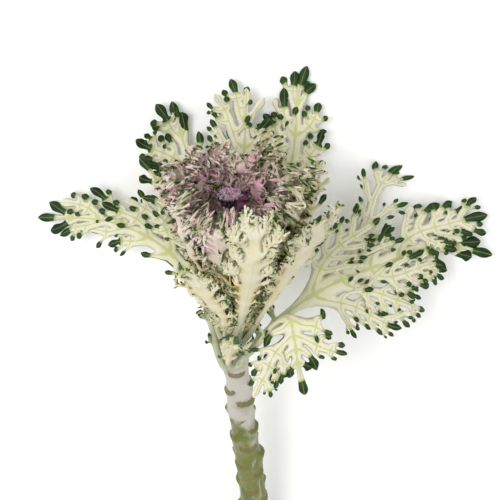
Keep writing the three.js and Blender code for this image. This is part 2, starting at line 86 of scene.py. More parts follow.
# Rows from the middle of a stem's end to its rim, as shares of its radius.
CAP_ROWS = (0.2, 0.4, 0.6, 0.75, 0.86, 0.93, 0.98)

# The knobs under the leaf scars, in a spiral: how far they rise in millimetres, where they start and
# how far they go up the stem, as shares of its length, and how wide they are in radians.
GOLDEN_ANGLE = math.radians(137.508)
SCAR_COUNT = 17
SCAR_RISE = 1.35
FIRST_SCAR_AT = 0.03
SCARS_SPAN = 0.56
SCAR_HEIGHT = 0.022
SCAR_SPREAD = 0.75
SCAR_TURN = 0.6
# The smile-shaped scars that old leaves left on it, in millimetres: half their width, how far they
# sag, how far they rise out of the skin, and how deep their shelf and how high their brown band is.
CRESCENTS = 44
LAST_CRESCENT_AT = STEM_TOP_AT - 0.06
CRESCENT_HALF = 3.7
CRESCENT_SAG = 1.1
CRESCENT_RISE = 1.0
CRESCENT_LIP = 0.5
CRESCENT_SHELF = 3.2
CRESCENT_BAND = 1.25
CRESCENT_TURN = 2.1

# Outer leaves: a petiole's thickness in millimetres, how wide its solid part is as a share of its
# width, how wide the tips of the lobes are at the foot and at the end of the blade, how a lobe bends
# unless its leaf says so, and how much narrower a feathered leaf's palm is at its end.
PETIOLE_THICKNESS = 3.6
PETIOLE_SHARE = 0.8
FOOT_SPOON = 0.62
END_SPOON = 1.25
LOBE_BEND = -0.45
PALM_NARROWING = 0.6

# The outer leaves, in millimetres and degrees. Each leaves the stem at a share of its length and an
# azimuth round it, and follows a path. The faces say which way its upper side looks from base to
# tip. Widths are half widths. A lobe is (angle from the midrib, reach, rise, bend), from base to
# tip on each side, and green is the share of lobe tips that are green.
OUTER_LEAVES = {
    "leaf_right": dict(
        start=(0.64, 75),
        path=[(10, -30, -4), (22, -20.5, -4.5), (36, -12.5, -4), (54, -5.5, -5.7), (72, 0.5, -9.5),
              (87, 0.5, -12.5), (99, -2, -13.5)],
        faces=[(-0.5, 0.6, 0.6), (-0.1, 0.1, 1), (0, 0, 1), (0.1, 0, 1)],
        petiole=2.8, blade=(0.25, 0.92), palm=6, spoon=2.2, waist=2.1, seed=11, green=0.95,
        left=[(40, 40, 10, -0.2), (40, 50, 4, -0.5), (34, 20, 12), (30, 40, 2), (44, 15, 0), (34, 11, 0)],
        right=[(38, 39, -6, -0.5), (30, 40, -3, -0.5), (24, 38, 4, -0.6), (36, 18, -6), (34, 14, 0),
               (32, 9, 3)],
    ),
    "leaf_lower": dict(
        start=(0.625, 15),
        path=[(4, -35.5, 14), (10, -28, 18.5), (15, -26.5, 21.5), (17, -34, 22), (18.5, -44, 19.5),
              (21.5, -57, 12)],
        faces=[(-0.6, 0.7, 0.3), (-0.4, 0.8, 0.4), (-0.2, 0.6, 0.7), (0, 0.2, 1), (0, 0, 1)],
        petiole=2.2, blade=(0.46, 0.8), palm=4.8, spoon=1.95, waist=2.2, seed=31, green=0.9,
        left=[(100, 15, 3), (60, 21, 2), (42, 14, 0), (32, 6, 0)],
        right=[(92, 13, 4), (58, 27, 4), (44, 16, 0), (32, 7, 0)],
    ),
    "leaf_left": dict(
        start=(0.61, -72),
        path=[(-15.5, -29, 1), (-19, -19, 2), (-25.5, -8.5, 2), (-35.5, 1.5, 0), (-48, 8.5, -3),
              (-63, 12.5, -8), (-87, 13.4, -13.4)],
        faces=[(0.6, 0.5, 0.6), (0.3, 0.2, 1), (0.1, 0, 1), (0, 0, 1)],
        petiole=2.4, blade=(0.3, 0.92), palm=4, spoon=1.9, waist=1.9, seed=51, green=0.92,
        left=[(32, 9, -5), (30, 13, -5), (28, 19, -4), (24, 24, -2), (22, 20, 0), (22, 12, 0)],
        right=[(32, 20, 10), (34, 27, 14), (26, 24, 18), (30, 20, 10), (34, 18, 4), (28, 12, 0)],
    ),
    "leaf_left_upper": dict(
        start=(0.668, -92),
        path=[(-17, -14, 10), (-23, 2, 9), (-29, 15, 9), (-36, 26, 10), (-43.5, 36, 10)],
        faces=[(0.7, 0.1, 0.6), (0.4, 0, 1), (0.3, 0, 1)],
        petiole=1.9, blade=(0.4, 0.92), palm=3.6, spoon=1.6, waist=1.3, seed=71, green=0.9,
        left=[(40, 12, 0), (38, 15, 0), (36, 12, 0), (32, 8, 0)],
        right=[(36, 9, 8), (34, 12, 8), (34, 12, 5), (30, 8, 0)],
    ),
    "leaf_back_left": dict(
        start=(0.65, -150),
        path=[(-12, -12, -5), (-17, 10, -6), (-23, 31, -2), (-27.5, 46, 2), (-31, 59, 5)],
        faces=[(0.3, 0.1, 1), (0.2, 0, 1), (0.1, -0.1, 1)],
        petiole=2.4, blade=(0.42, 0.92), palm=4.6, spoon=2, waist=2.1, seed=91, green=0.95,
        left=[(50, 18, 0), (46, 24, 0), (42, 24, 0), (34, 17, 0)],
        right=[(36, 17, 8), (36, 18, 8), (32, 15, 4), (28, 11, 0)],
    ),
    "leaf_back_mid": dict(
        start=(0.682, 180),
        path=[(-6, -2, -2), (-3.5, 17, -1.5), (-2.5, 36, 2), (-1.8, 50, 6), (-1.4, 64, 9)],
        faces=[(0, 0.1, 1), (0, 0, 1), (0, -0.1, 1)],
        petiole=2.4, blade=(0.46, 0.92), palm=5, spoon=1.8, waist=2.2, seed=111, green=0.9,
        left=[(44, 18, 0), (36, 26, 2), (30, 26, 5), (24, 19, 0)],
        right=[(40, 12, 6), (34, 17, 8), (32, 17, 4), (26, 13, 0)],
    ),
    "leaf_back_right": dict(
        start=(0.662, 140),
        path=[(3, -8, -5), (10, 12, -6), (16.5, 34, -1.5), (18.5, 50, 2.5), (19, 61, 4.5),
              (22.5, 73, 6.5)],
        faces=[(-0.3, 0.1, 1), (-0.2, 0, 1), (0, -0.1, 1)],
        petiole=2.4, blade=(0.46, 0.92), palm=4.2, spoon=2.1, waist=2.2, seed=131, green=0.95,
        left=[(26, 10, 2), (26, 27, 0, -0.3), (32, 20, 0), (26, 14, 0)],
        right=[(40, 14, 4), (42, 19, 0), (42, 17, -4), (30, 12, 0)],
    ),
    "leaf_right_upper": dict(
        start=(0.684, 104),
        path=[(9, -14, 8), (17, 2, 9), (22.5, 15, 11), (26, 25, 13), (29, 35, 14)],
        faces=[(-0.7, 0.1, 0.6), (-0.4, 0, 1), (-0.2, 0, 1)],
        petiole=1.9, blade=(0.4, 0.92), palm=3.6, spoon=1.3, waist=1.3, seed=151, green=0.9,
        left=[(36, 9, 8), (34, 10, 8), (32, 10, 4), (26, 7, 0)],
        right=[(40, 10, 0), (42, 11, 0), (38, 10, 0), (30, 7, 0)],
    ),
    "leaf_cup": dict(
        start=(0.678, 68),
        path=[(4.5, -25, 20), (13, -12, 31), (22.5, 2, 44.5), (28, 13.5, 56)],
        faces=[(-0.75, 0.4, -0.5), (-0.75, 0.4, -0.5), (-0.8, 0.4, -0.4)],
        petiole=2.4, blade=(0.26, 0.95), palm=13, spoon=0.8, waist=1.0, cup=0.015, plain=True,
        seed=171, green=0.6,
        left=[(60, 4), (56, 5), (50, 6), (46, 8), (42, 9), (36, 9), (28, 8)],
        right=[(60, 4), (56, 6), (52, 8), (46, 9), (42, 10), (36, 10), (28, 8)],
    ),
    "leaf_front": dict(
        start=(0.688, 8),
        path=[(-2.6, -23, 31), (-0.8, -15, 48), (0.6, -7.5, 64), (1.6, 2, 75), (2.2, 12, 79)],
        faces=[(0, 0.7, -0.7), (0, 0.7, -0.7), (0, 0.8, -0.6)],
        petiole=2.6, blade=(0.2, 0.95), palm=5.6, spoon=0.7, waist=1.0, cup=0.06, plain=True,
        seed=191, green=0.3,
        left=[(60, 2), (56, 3), (50, 4), (42, 6), (34, 8), (28, 10), (22, 12), (15, 10)],
        right=[(60, 2), (56, 3), (50, 4), (42, 6), (34, 8), (28, 10), (22, 12), (15, 10)],
    ),
    "leaf_star": dict(
        start=(0.672, -32),
        path=[(-10.8, -25, 25.5), (-16.5, -18, 36.5), (-21, -11, 45.5), (-23.5, -7, 51)],
        faces=[(0.4, 0.7, -0.5), (0.4, 0.7, -0.5), (0.4, 0.7, -0.5)],
        petiole=1.8, blade=(0.2, 0.95), palm=6.5, spoon=0.7, waist=0.8, cup=0.03, plain=True,
        seed=211, green=0.7,
        left=[(56, 4), (54, 5), (50, 6), (46, 7), (40, 8), (34, 8), (28, 6)],
        right=[(56, 4), (54, 5), (50, 6), (46, 7), (40, 8), (34, 8), (28, 6)],
    ),
    "leaf_basal": dict(
        start=(0.625, -28),
        path=[(-8.5, -44, 11), (-7.5, -39, 17), (-3.5, -35.5, 22.5)],
        faces=[(0, 0.9, -0.4), (0, 0.8, -0.5), (0, 0.8, -0.5)],
        petiole=1.6, blade=(0.35, 0.92), palm=3.6, spoon=1.1, waist=0.9, cup=0.05, plain=True,
        seed=231, green=0.8,
        left=[(60, 3.5), (54, 4.5), (46, 5), (38, 5)],
        right=[(60, 3.5), (54, 4.5), (46, 5), (38, 5)],
    ),
}

# The head's leaves stand in a spiral from its foot at HEAD_BASE_AT to its top at HEAD_TOP_AT, and
# their tips make a rim, in millimetres round and past the stem's end.
HEAD_LEAVES = 27
OUTER_HEAD_LEAVES = 9
HEAD_FIRST_AZIMUTH = math.radians(100)
HEAD_BASE_AT = STEM_TOP_AT + 0.006
HEAD_TOP_AT = 0.965
RIM_RADIUS = 29
INNER_RIM_RADIUS = 8
RIM_HEIGHT = 2
RIM_SHIFT = np.array([3.4, 5.5, 0])
# The small frilled leaves in front of the head's foot: the azimuth of each in degrees, and how far
# its tip stands out from the stem and up along it in millimetres.
FOOT_LEAVES_AT = 0.699
FOOT_LEAF_BAYS = 5
FOOT_LEAVES = [
    (-78, 9, 11), (-48, 10, 13), (-14, 10, 12), (20, 10, 12), (50, 9, 11), (76, 9, 10), (-28, 12, 21),
    (10, 12, 22),
]
# The heart's bud, in millimetres.
HEART_LEAVES = 42
HEART_RADIUS = 3.6
HEART_HEIGHT = 5.6
# The blush is round a point a little to the left of the heart and past it. It and the plum round the
# heart are full within the first distance and gone at the second, in millimetres.
BLUSH_CENTRE = np.array([-12, 22, 44])
BLUSH_REACH = (12, 36)
PLUM_REACH = (6, 20)

# How finely each kind of leaf is cut, in millimetres, shares and radians. child_reach, skip and veins
# have a value for each order of lobe, and child_bays has the spacing along the lobes of the first
# order and of the second. green is the shortest and the longest green tip, in half widths of the
# tip, and midrib and sweep have a value for the foot and one for the end.
FEATHERED = dict(
    thickness=0.9, levels=1, child_reach=(0.34, 0.36), least_reach=3.4, child_bays=(7.0, 4.6),
    most_bays=5, fork=math.radians(42), child_spoon=0.76, child_waist=0.58, tip_ratio=4.2,
    skip=(0.14, 0.38), green=(2.6, 4.0), most_green=0.5, scatter=0.6, curl=0.7, wiggle=0.2, wave=1.5,
    wave_length=24.0, rib=0.7, root=2.1, foot=1.5, neck=0.5, midrib=(0.6, 0.2), veins=(0.2, 0.1, 0.06),
    side_veins=True, sweep=(1.0, 0.2), petiole_buds=(0.3, 0.6),
)
FRINGED = dict(
    thickness=0.7, levels=1, child_reach=(0.44, 0.5), least_reach=3.2, child_bays=(2.2, 1.9),
    most_bays=4, fork=math.radians(36), child_spoon=0.7, child_waist=0.66, tip_ratio=2.8,
    skip=(0.05, 0.2), green=(1.4, 2.4), most_green=0.3, scatter=0.9, curl=1.0, wiggle=0.3, wave=1.4,
    wave_length=10.0, rib=0.8, root=1.5, foot=1.2, neck=0.7, midrib=(0.5, 0.2), veins=(0.12, 0.08, 0.05),
    side_veins=False, sweep=(0.6, 0.2), petiole_buds=(),
)
FRILLED = dict(
    thickness=0.5, levels=0, child_reach=(0.5, 0.5), least_reach=3.0, child_bays=(1.9, 1.5),
    most_bays=3, fork=math.radians(32), child_spoon=1.12, child_waist=0.74, tip_ratio=1.5,
    skip=(0.04, 0.12), green=(1.1, 1.6), most_green=0.27, scatter=0.9, curl=1.0, wiggle=0.3, wave=1.9,
    wave_length=8.0, rib=0.4, root=1.5, foot=1.3, neck=0.6, midrib=(0.3, 0.1), veins=(0.1, 0.08, 0.05),
    side_veins=False, sweep=(0.5, 0.3), petiole_buds=(),
)
BUDDED = dict(
    thickness=0.35, levels=0, child_reach=(0.5, 0.5), least_reach=2.6, child_bays=(0.8, 0.8),
    most_bays=2, fork=math.radians(46), child_spoon=0.8, child_waist=0.7, tip_ratio=2.6,
    skip=(0.1, 1.0), green=(0.0, 0.0), most_green=0.0, scatter=1.2, curl=1.2, wiggle=0.2, wave=0.5,
    wave_length=2.6, rib=0.25, root=1.4, foot=1.1, neck=0.8, midrib=(0.2, 0.1), veins=(0.1, 0.1, 0.1),
    side_veins=False, sweep=(0.3, 0.3), petiole_buds=(),
)
# Rows along a lobe's spoon tip: share of its length, share of its greatest half width.
TIP_ROWS = [(0.3, 0.8), (0.56, 1.02), (0.82, 0.7), (1.0, 0.1)]
# Rows along a petiole: share of its length, of its half width and of its thickness.
PETIOLE_ROWS = [(0, 1.25, 1), (0.3, 1.0, 0.9), (0.6, 0.87, 0.75), (0.95, 0.78, 0.55)]
# A petiole widens where it leaves the stem. Its line starts this share of the stem's length below
# and this share of the radius from the middle, and comes through the skin this much above.
SHEATH_WIDTH = 1.15
SHEATH_DROP = 0.02
SHEATH_RISE = 0.01
FOOT_DEPTH = 0.15
SKIN_CLEARANCE = 0.25
# How far inside the edge the root of a lobe counts, the rows that a lobe's own lobes grow from, as
# (place in their foot, width), how thick each order of lobe is and how much more a lobe ruffles at
# its tip.
ROOT_INNER = 0.78
LOBE_ROOT_ROWS = ((-1, 1.02), (0, 1.06), (1, 0.94))
ORDER_THICKNESS = (1.0, 0.85, 0.7)
LOBE_RUFFLE = 0.6
# The green borders reach no further than this from a tip, on either side of them.
BORDER_LIMIT = 9.0
# Waves that a blade's ruffle adds up.
WAVE_TERMS = 5
# The cup of a leaf that has none, in radians a millimetre.
NEARLY_FLAT = 1e-6
# Pieces that come to the surface give by up to this much.
GIVE = 2.0

# Stage: half the floor's side, the world's strength, and each softbox's place, size and power.
FLOOR_HALF = 3.0
WORLD_LIGHT = 0.84
SOFTBOXES = [
    ("Key softbox", (-0.45, 0.35, 0.9), 0.5, 5.2),
    ("Fill softbox", (0.7, -0.3, 0.8), 0.9, 2.0),
]


def linear(hex_colour):
    """An sRGB hex value as linear red, green and blue."""
    channels = [int(hex_colour[index:index + 2], 16) / 255 for index in (1, 3, 5)]
    return tuple(c / 12.92 if c <= 0.04045 else ((c + 0.055) / 1.055) ** 2.4 for c in channels)


def draw(seed, step):
    """A draw from 0 to 1 that depends only on its seed and step."""
    wave = math.sin(seed * 12.9898 + step * 78.233) * 43758.5453
    return wave - math.floor(wave)


def mix(low, high, share):
    return low + (high - low) * share


def smooth(values, low, high):
    """0 below low, 1 above high, and a smooth step between."""
    share = np.clip((values - low) / (high - low), 0, 1)
    return share * share * (3 - 2 * share)


def unit(vectors):
    return vectors / np.maximum(np.linalg.norm(vectors, axis=-1, keepdims=True), 1e-9)


class Line:
    """A centripetal curve through points, read by its share of the length."""

    STEPS = 40
    TANGENT_STEP = 0.004

    def __init__(self, points):
        points = np.array(points, float)
        ends = (2 * points[0] - points[1], 2 * points[-1] - points[-2])
        points = np.vstack([ends[0], points, ends[1]])
        t = np.linspace(0, 1, self.STEPS, endpoint=False)[:, None]
        samples = []
        for p0, p1, p2, p3 in zip(points, points[1:], points[2:], points[3:]):
            d0, d1, d2 = [math.sqrt(np.linalg.norm(b - a)) for a, b in ((p0, p1), (p1, p2), (p2, p3))]
            t1 = ((p1 - p0) / d0 - (p2 - p0) / (d0 + d1) + (p2 - p1) / d1) * d1
            t2 = ((p2 - p1) / d1 - (p3 - p1) / (d1 + d2) + (p3 - p2) / d2) * d1
            cubic = 2 * p1 - 2 * p2 + t1 + t2
            square = -3 * p1 + 3 * p2 - 2 * t1 - t2
            samples.append(p1 + t1 * t + square * t ** 2 + cubic * t ** 3)
        self.samples = np.vstack(samples + [points[-2][None]])
        gone = np.linalg.norm(np.diff(self.samples, axis=0), axis=1)
        self.gone = np.concatenate([[0], np.cumsum(gone)])
        self.length = self.gone[-1]

    def point(self, share):
        place = np.asarray(share, float) * self.length
        return np.stack([np.interp(place, self.gone, axis) for axis in self.samples.T], axis=-1)

    def tangent(self, share):
        share = np.asarray(share, float)
        ahead = self.point(np.minimum(share + self.TANGENT_STEP, 1))
        behind = self.point(np.maximum(share - self.TANGENT_STEP, 0))
        return unit(ahead - behind)


STEM_LINE = Line(STEM_PATH)


def stem_frame(at):
    """The stem's point, and its directions along, right and front, at a share of its length."""
    along = STEM_LINE.tangent(at)
    right = unit(np.array([1.0, 0, 0]) - along * along[..., :1])
    return STEM_LINE.point(at), along, right, np.cross(right, along)


def stem_radius(at):
    at = np.asarray(at, float)
    below = mix(CUT_END_RADIUS, NECK_RADIUS, at / NECK_AT)
    above = mix(NECK_RADIUS, TOP_RADIUS, (at - NECK_AT) / (1 - NECK_AT))
    return np.where(at < NECK_AT, below, above)


def out_of_stem(at, azimuth):
    _, _, right, front = stem_frame(at)
    return front * math.cos(azimuth) + right * math.sin(azimuth)


def lay_down(points):
    """From the plant's own frame in millimetres to metres as it lies."""
    cos, sin = math.cos(LYING_TILT), math.sin(LYING_TILT)
    x, y, z = np.asarray(points, float).T
    laid = np.stack([x, y * cos - z * sin, y * sin + z * cos], axis=1) + LYING_SHIFT
    # What would sink into the surface is pressed flat on it.
    height = laid[:, 2]
    pressed = GIVE * np.exp(np.minimum(height - GIVE, 0) / GIVE)
    laid[:, 2] = np.where(height < GIVE, pressed, height)
    return laid * METRES


class Plan:
    """A leaf's flat plan, before it is bent: rows of left, middle and right vertices.

    A vertex is along, left, up, half the thickness, inner, vein, tip, ruffle and rib, in that
    order. Inner is 1 on the midline and 0 at the cut edge, vein is how many half widths of its vein
    it lies from it, and tip is how far past the green border it lies.
    """

    ALONG, LEFT, UP, THICK, INNER, VEIN, TIP, RUFFLE, RIB = range(9)

    def __init__(self):
        self.vertices = []
        self.faces = []
        self.last = None

    def row(self, centre, ahead, half, thick, vein, tip, ruffle, rib=0.0, sweep=0.0):
        """Adds a row across a direction ahead, and joins it to the last one."""
        made = []
        for side in (1, 0, -1):
            edge = abs(side) * half
            self.vertices.append([
                centre[0] - ahead[1] * half * side + ahead[0] * sweep * edge,
                centre[1] + ahead[0] * half * side + ahead[1] * sweep * edge,
                centre[2],
                0.0 if side else thick,
                0.0 if side else 1.0,
                half / vein if side else 0.0,
                max(-BORDER_LIMIT, min(BORDER_LIMIT, tip)),
                ruffle,
                0.0 if side else rib,
            ])
            made.append(len(self.vertices) - 1)
        if self.last:
            old = self.last
            self.faces += [(old[2], made[2], made[1], old[1]), (old[1], made[1], made[0], old[0])]
        self.last = made
        return made

    def root(self, rows, side, thick, veined):
        """The three vertices on one side of three rows, which a lobe grows from."""
        edge = [cells[0 if side > 0 else 2] for cells in rows][::side]
        middle = self.vertices[edge[1]]
        middle[self.THICK] = thick
        middle[self.INNER] = ROOT_INNER
        if veined:
            middle[self.VEIN] = 0.0
        return edge


def grow_lobe(plan, root, lobe, order, habit):
    """Grows a lobe with a spoon tip from three vertices of its parent's edge, and its own lobes."""
    reach, waist, spoon, seed = lobe["reach"], lobe["waist"], lobe["spoon"], lobe["seed"]
    thick = habit["thickness"] / 2 * ORDER_THICKNESS[order]
    middle = plan.vertices[root[1]]
    centre = np.array(middle[:3])
    ruffle = middle[plan.RUFFLE]
    plan.last = root
    gone = 0.0
    phase = math.tau * draw(seed, 8)

    def heading(distance):
        share = distance / reach
        bend = habit["wiggle"] * (math.sin(phase + share * 5) - math.sin(phase))
        return lobe["heading"] + lobe["turn"] * share + bend

    def rise(distance):
        share = distance / reach
        return lobe["rise"] + lobe["curl"] * share * share

    def section(distance, half, rib=0.0):
        nonlocal gone, centre
        halfway = (gone + distance) / 2
        head, climb = heading(halfway), rise(halfway)
        step = distance - gone
        centre = centre + step * np.array([
            math.cos(head) * math.cos(climb), math.sin(head) * math.cos(climb), math.sin(climb)])
        gone = distance
        head = heading(distance)
        inherited = lobe["border"] if lobe["border"] > 0 else -BORDER_LIMIT
        tip = max(distance - (reach - lobe["green"]), inherited)
        waving = ruffle + LOBE_RUFFLE * distance / reach
        vein = habit["veins"][order] * mix(1.1, 0.6, distance / reach)
        return plan.row(centre, (math.cos(head), math.sin(head)), half, thick, vein, tip, waving, rib)

    tip_length = min(spoon * habit["tip_ratio"], reach * 0.62)
    neck = reach - tip_length
    bays = lobe["bays"]
    child_waist = waist * habit["child_waist"] if order < 2 else 0
    grown = []
    if bays:
        first = min(waist * 1.4, reach * 0.16)
        spacing = (neck + tip_length * 0.25 - first) / bays
        foot = min(child_waist * 1.35, spacing * 0.44)
        for bay in range(bays):
            at = first + spacing * (bay + 0.5)
            half = waist * mix(habit["foot"], habit["neck"], at / reach)
            rows = [section(at + part * foot, half * wide, 0.6) for part, wide in LOBE_ROOT_ROWS]
            grown.append((bay, at, rows))
    elif neck > waist * 1.2:
        section(neck * 0.5, waist * 0.82)
    start = max(neck, gone + spoon * 0.25)
    section(start, max(spoon * 0.52, waist * habit["neck"] * 0.9))
    for share, width in TIP_ROWS:
        section(mix(start, reach, share), spoon * width)

    for bay, at, rows in grown:
        share = at / reach
        for side in (1, -1):
            step = bay * 2 + (1 if side > 0 else 2)
            vary, other = draw(seed, step), draw(seed + 17, step)
            if other < habit["skip"][order]:
                continue
            child_spoon = spoon * habit["child_spoon"] * mix(0.82, 1.12, draw(seed + 31, step))
            child_reach = reach * habit["child_reach"][order] * mix(1.05, 0.55, share)
            child_reach *= mix(0.7, 1.35, vary)
            child_reach = max(child_reach, child_spoon * habit["least_reach"])
            child_bays = 0
            if order == 0 and child_reach > habit["child_bays"][1] * 1.4:
                child_bays = min(habit["most_bays"] - 1, int(child_reach / habit["child_bays"][1]))
            turned = habit["fork"] * mix(1.15, 0.8, share) * mix(0.85, 1.15, vary)
            green = min(child_spoon * mix(*habit["green"], vary) * 0.85, child_reach * habit["most_green"])
            grow_lobe(plan, plan.root(rows, side, thick * 0.8, habit["side_veins"]), dict(
                heading=heading(at) + side * turned,
                turn=-side * turned * mix(0.1, 0.7, other),
                rise=rise(at) + (vary - 0.5) * habit["scatter"],
                curl=(other - 0.45) * habit["curl"],
                reach=child_reach,
                waist=child_waist * mix(0.85, 1.1, other),
                spoon=child_spoon,
                bays=child_bays,
                green=green if draw(seed + 5, step) < lobe["share"] else -1.0,
                border=plan.vertices[rows[1][1]][plan.TIP],
                share=lobe["share"],
                seed=seed * 1.7 + bay * 3.1 + side,
            ), order + 1, habit)


def leaf_plan(leaf, length, lead, habit):
    """The petiole and midrib with the blade, and one lobe in each bay on each side."""
    plan = Plan()
    start, end = leaf["blade"]
    petiole, palm = leaf["petiole"] * PETIOLE_SHARE, leaf["palm"]
    spoon, waist = leaf["spoon"], leaf["waist"]
    thin = habit["thickness"] / 2
    bays = len(leaf["left"])
    plain = leaf.get("plain")
    ahead = (1.0, 0.0)
    terminal = spoon * mix(*habit["green"], 0.8) if draw(leaf["seed"], 50) < leaf["green"] else -1.0

    def row(along, half, thick, rib=1.0, sweep=0.0):
        ruffle = float(smooth(along / length, start * 0.8, 1.0))
        vein = mix(*habit["midrib"], max(0, along / length)) * (1 + (2 if along < 0 else 0))
        tip = along - (length - terminal)
        return plan.row((along, 0, 0), ahead, half, thick, vein, tip, ruffle, rib, sweep)

    if lead:
        row(-lead, petiole * SHEATH_WIDTH, PETIOLE_THICKNESS * 0.62)
        row(-lead * 0.45, petiole * mix(SHEATH_WIDTH, 1.25, 0.5), PETIOLE_THICKNESS * 0.56)
    buds = []
    for at, wide, thick in PETIOLE_ROWS:
        place, half = length * start * at, petiole * wide
        if at in habit["petiole_buds"] and not plain:
            buds.append([row(place + part, half, PETIOLE_THICKNESS * thick / 2) for part in (-0.9, 0, 0.9)])
        else:
            row(place, half, PETIOLE_THICKNESS * thick / 2)
    spacing = length * (end - start) / bays
    foot = min(waist * habit["root"], spacing * 0.42)
    grown = []
    for bay in range(bays):
        rows = []
        for part in (-1, 0, 1):
            at = (bay + 0.5 + part * foot / spacing) / bays
            # A plain leaf is widest near its end, and a feathered one near its foot.
            if plain:
                swell = math.sin(math.pi / 2 * min(1, at * 1.25)) ** 2
                half = mix(petiole, palm, swell) * (1 - 0.8 * at ** 3)
            else:
                swell = math.sin(math.pi * min(1, at * 0.9 + 0.12)) ** 0.7
                half = mix(petiole, palm, swell) * (1 - PALM_NARROWING * at)
            sweep = mix(*habit["sweep"], at)
            rows.append(row(length * mix(start, end, at), half, mix(0.9, thin, at), mix(1, 0.5, at), sweep))
        grown.append(rows)
    tip = max(length - spoon * habit["tip_ratio"], length * end + 0.4)
    row(tip, max(spoon * 0.62, waist * 0.6), thin, 0.3)
    for share, width in TIP_ROWS:
        row(mix(tip, length, share), spoon * width, thin, 0.2 * (1 - share))

    # Small lobes stand along the petiole.
    for bud, rows in enumerate(buds):
        for side in (1, -1):
            vary = draw(leaf["seed"] + bud, 60 + side)
            grow_lobe(plan, plan.root(rows, side, 0.6, False), dict(
                heading=side * mix(0.7, 1.1, vary), turn=-side * 0.4, rise=mix(0.2, 0.9, vary),
                curl=0.5, reach=mix(5, 8, vary), waist=0.75, spoon=0.95, bays=2, green=1.8,
                border=-BORDER_LIMIT, share=0.8, seed=leaf["seed"] + 400 + bud * 3 + side,
            ), 0, habit)
    for bay, rows in enumerate(grown):
        for side, lobes in ((1, leaf["left"]), (-1, leaf["right"])):
            angle, reach, rise, bend = (*lobes[bay], *(0, LOBE_BEND)[len(lobes[bay]) - 2:])
            angle = math.radians(angle)
            edge = plan.vertices[rows[1][0]]
            seed = leaf["seed"] + bay * 7 + (0 if side > 0 else 3)
            vary = draw(seed, 9)
            # The reach is given from the midrib, and the lobe starts at the blade's edge.
            if not plain:
                reach = max(reach - abs(edge[plan.LEFT]) * 0.65 / max(math.sin(angle), 0.35), spoon * 3)
            lobe_spoon = spoon * mix(FOOT_SPOON, END_SPOON, bay / bays) * mix(0.88, 1.08, vary)
            lobe_bays = int(reach / habit["child_bays"][0])
            grow_lobe(plan, plan.root(rows, side, thin, habit["side_veins"]), dict(
                heading=side * angle,
                turn=side * angle * bend,
                rise=math.radians(rise),
                curl=(vary - 0.4) * habit["curl"],
                reach=reach,
                waist=waist * mix(0.85, 1, vary),
                spoon=lobe_spoon,
                bays=min(habit["most_bays"], lobe_bays) if reach > habit["child_bays"][0] * 1.7 else 0,
                green=lobe_spoon * mix(*habit["green"], vary) if draw(seed, 51) < leaf["green"] else -1.0,
                border=-BORDER_LIMIT,
                share=leaf["green"],
                seed=seed,
            ), 0, habit)
    return np.array(plan.vertices), np.array(plan.faces, int)


def sheet_edges(faces):
    """The sheet's edges, which face side is which edge, and which edges are the cut edge."""
    pairs = np.stack([faces, np.roll(faces, -1, axis=1)], axis=2).reshape(-1, 2)
    keys, owner, uses = np.unique(np.sort(pairs, axis=1), axis=0, return_inverse=True, return_counts=True)
    return keys, owner.reshape(-1), uses == 1


def subdivide(vertices, faces):
    """One step of Catmull and Clark's rule on a sheet. The veins' column stays straight between rows."""
    keys, owner, cut = sheet_edges(faces)
    count = len(vertices)
    face_points = vertices[faces].mean(axis=1)
    middles = vertices[keys].mean(axis=1)
    straight = vertices[:, Plan.VEIN].copy()
    around = np.zeros_like(middles)
    np.add.at(around, owner, np.repeat(face_points, 4, axis=0))
    edge_points = np.where(cut[:, None], middles, (middles * 2 + around) / 4)
    valence = np.maximum(np.bincount(faces.reshape(-1), minlength=count), 1)[:, None]
    face_sum = np.zeros_like(vertices)
    np.add.at(face_sum, faces.reshape(-1), np.repeat(face_points, 4, axis=0))
    edge_sum, cut_sum = np.zeros_like(vertices), np.zeros_like(vertices)
    edge_count, cut_count = np.zeros((count, 1)), np.zeros((count, 1))
    for end in (0, 1):
        np.add.at(edge_sum, keys[:, end], middles)
        np.add.at(edge_count, keys[:, end], 1)
        np.add.at(cut_sum, keys[cut][:, end], middles[cut])
        np.add.at(cut_count, keys[cut][:, end], 1)
    moved = face_sum / valence + 2 * edge_sum / np.maximum(edge_count, 1) + (valence - 3) * vertices
    moved /= valence
    on_cut = cut_count[:, 0] > 0
    moved[on_cut] = (vertices[on_cut] + cut_sum[on_cut] / cut_count[on_cut]) / 2
    moved[:, Plan.VEIN], edge_points[:, Plan.VEIN] = straight, middles[:, Plan.VEIN]
    edges = owner.reshape(-1, 4) + count
    centres = np.arange(len(faces)) + count + len(keys)
    quads = [np.stack([faces[:, corner], edges[:, corner], centres, edges[:, corner - 1]], axis=1)
             for corner in range(4)]
    return np.vstack([moved, edge_points, face_points]), np.vstack(quads)


def waves(points, length, seed):
    """A smooth wavy field from about -1 to 1, whose waves are about this long."""
    total = np.zeros(len(points))
    for term in range(WAVE_TERMS):
        angle = math.tau * draw(seed, term * 3 + 1)
        stretch = mix(0.7, 1.5, draw(seed, term * 3 + 2)) * math.tau / length
        phase = math.tau * draw(seed, term * 3 + 3)
        total += np.sin(points @ np.array([math.cos(angle), math.sin(angle)]) * stretch + phase)
    return total / math.sqrt(WAVE_TERMS * 2)


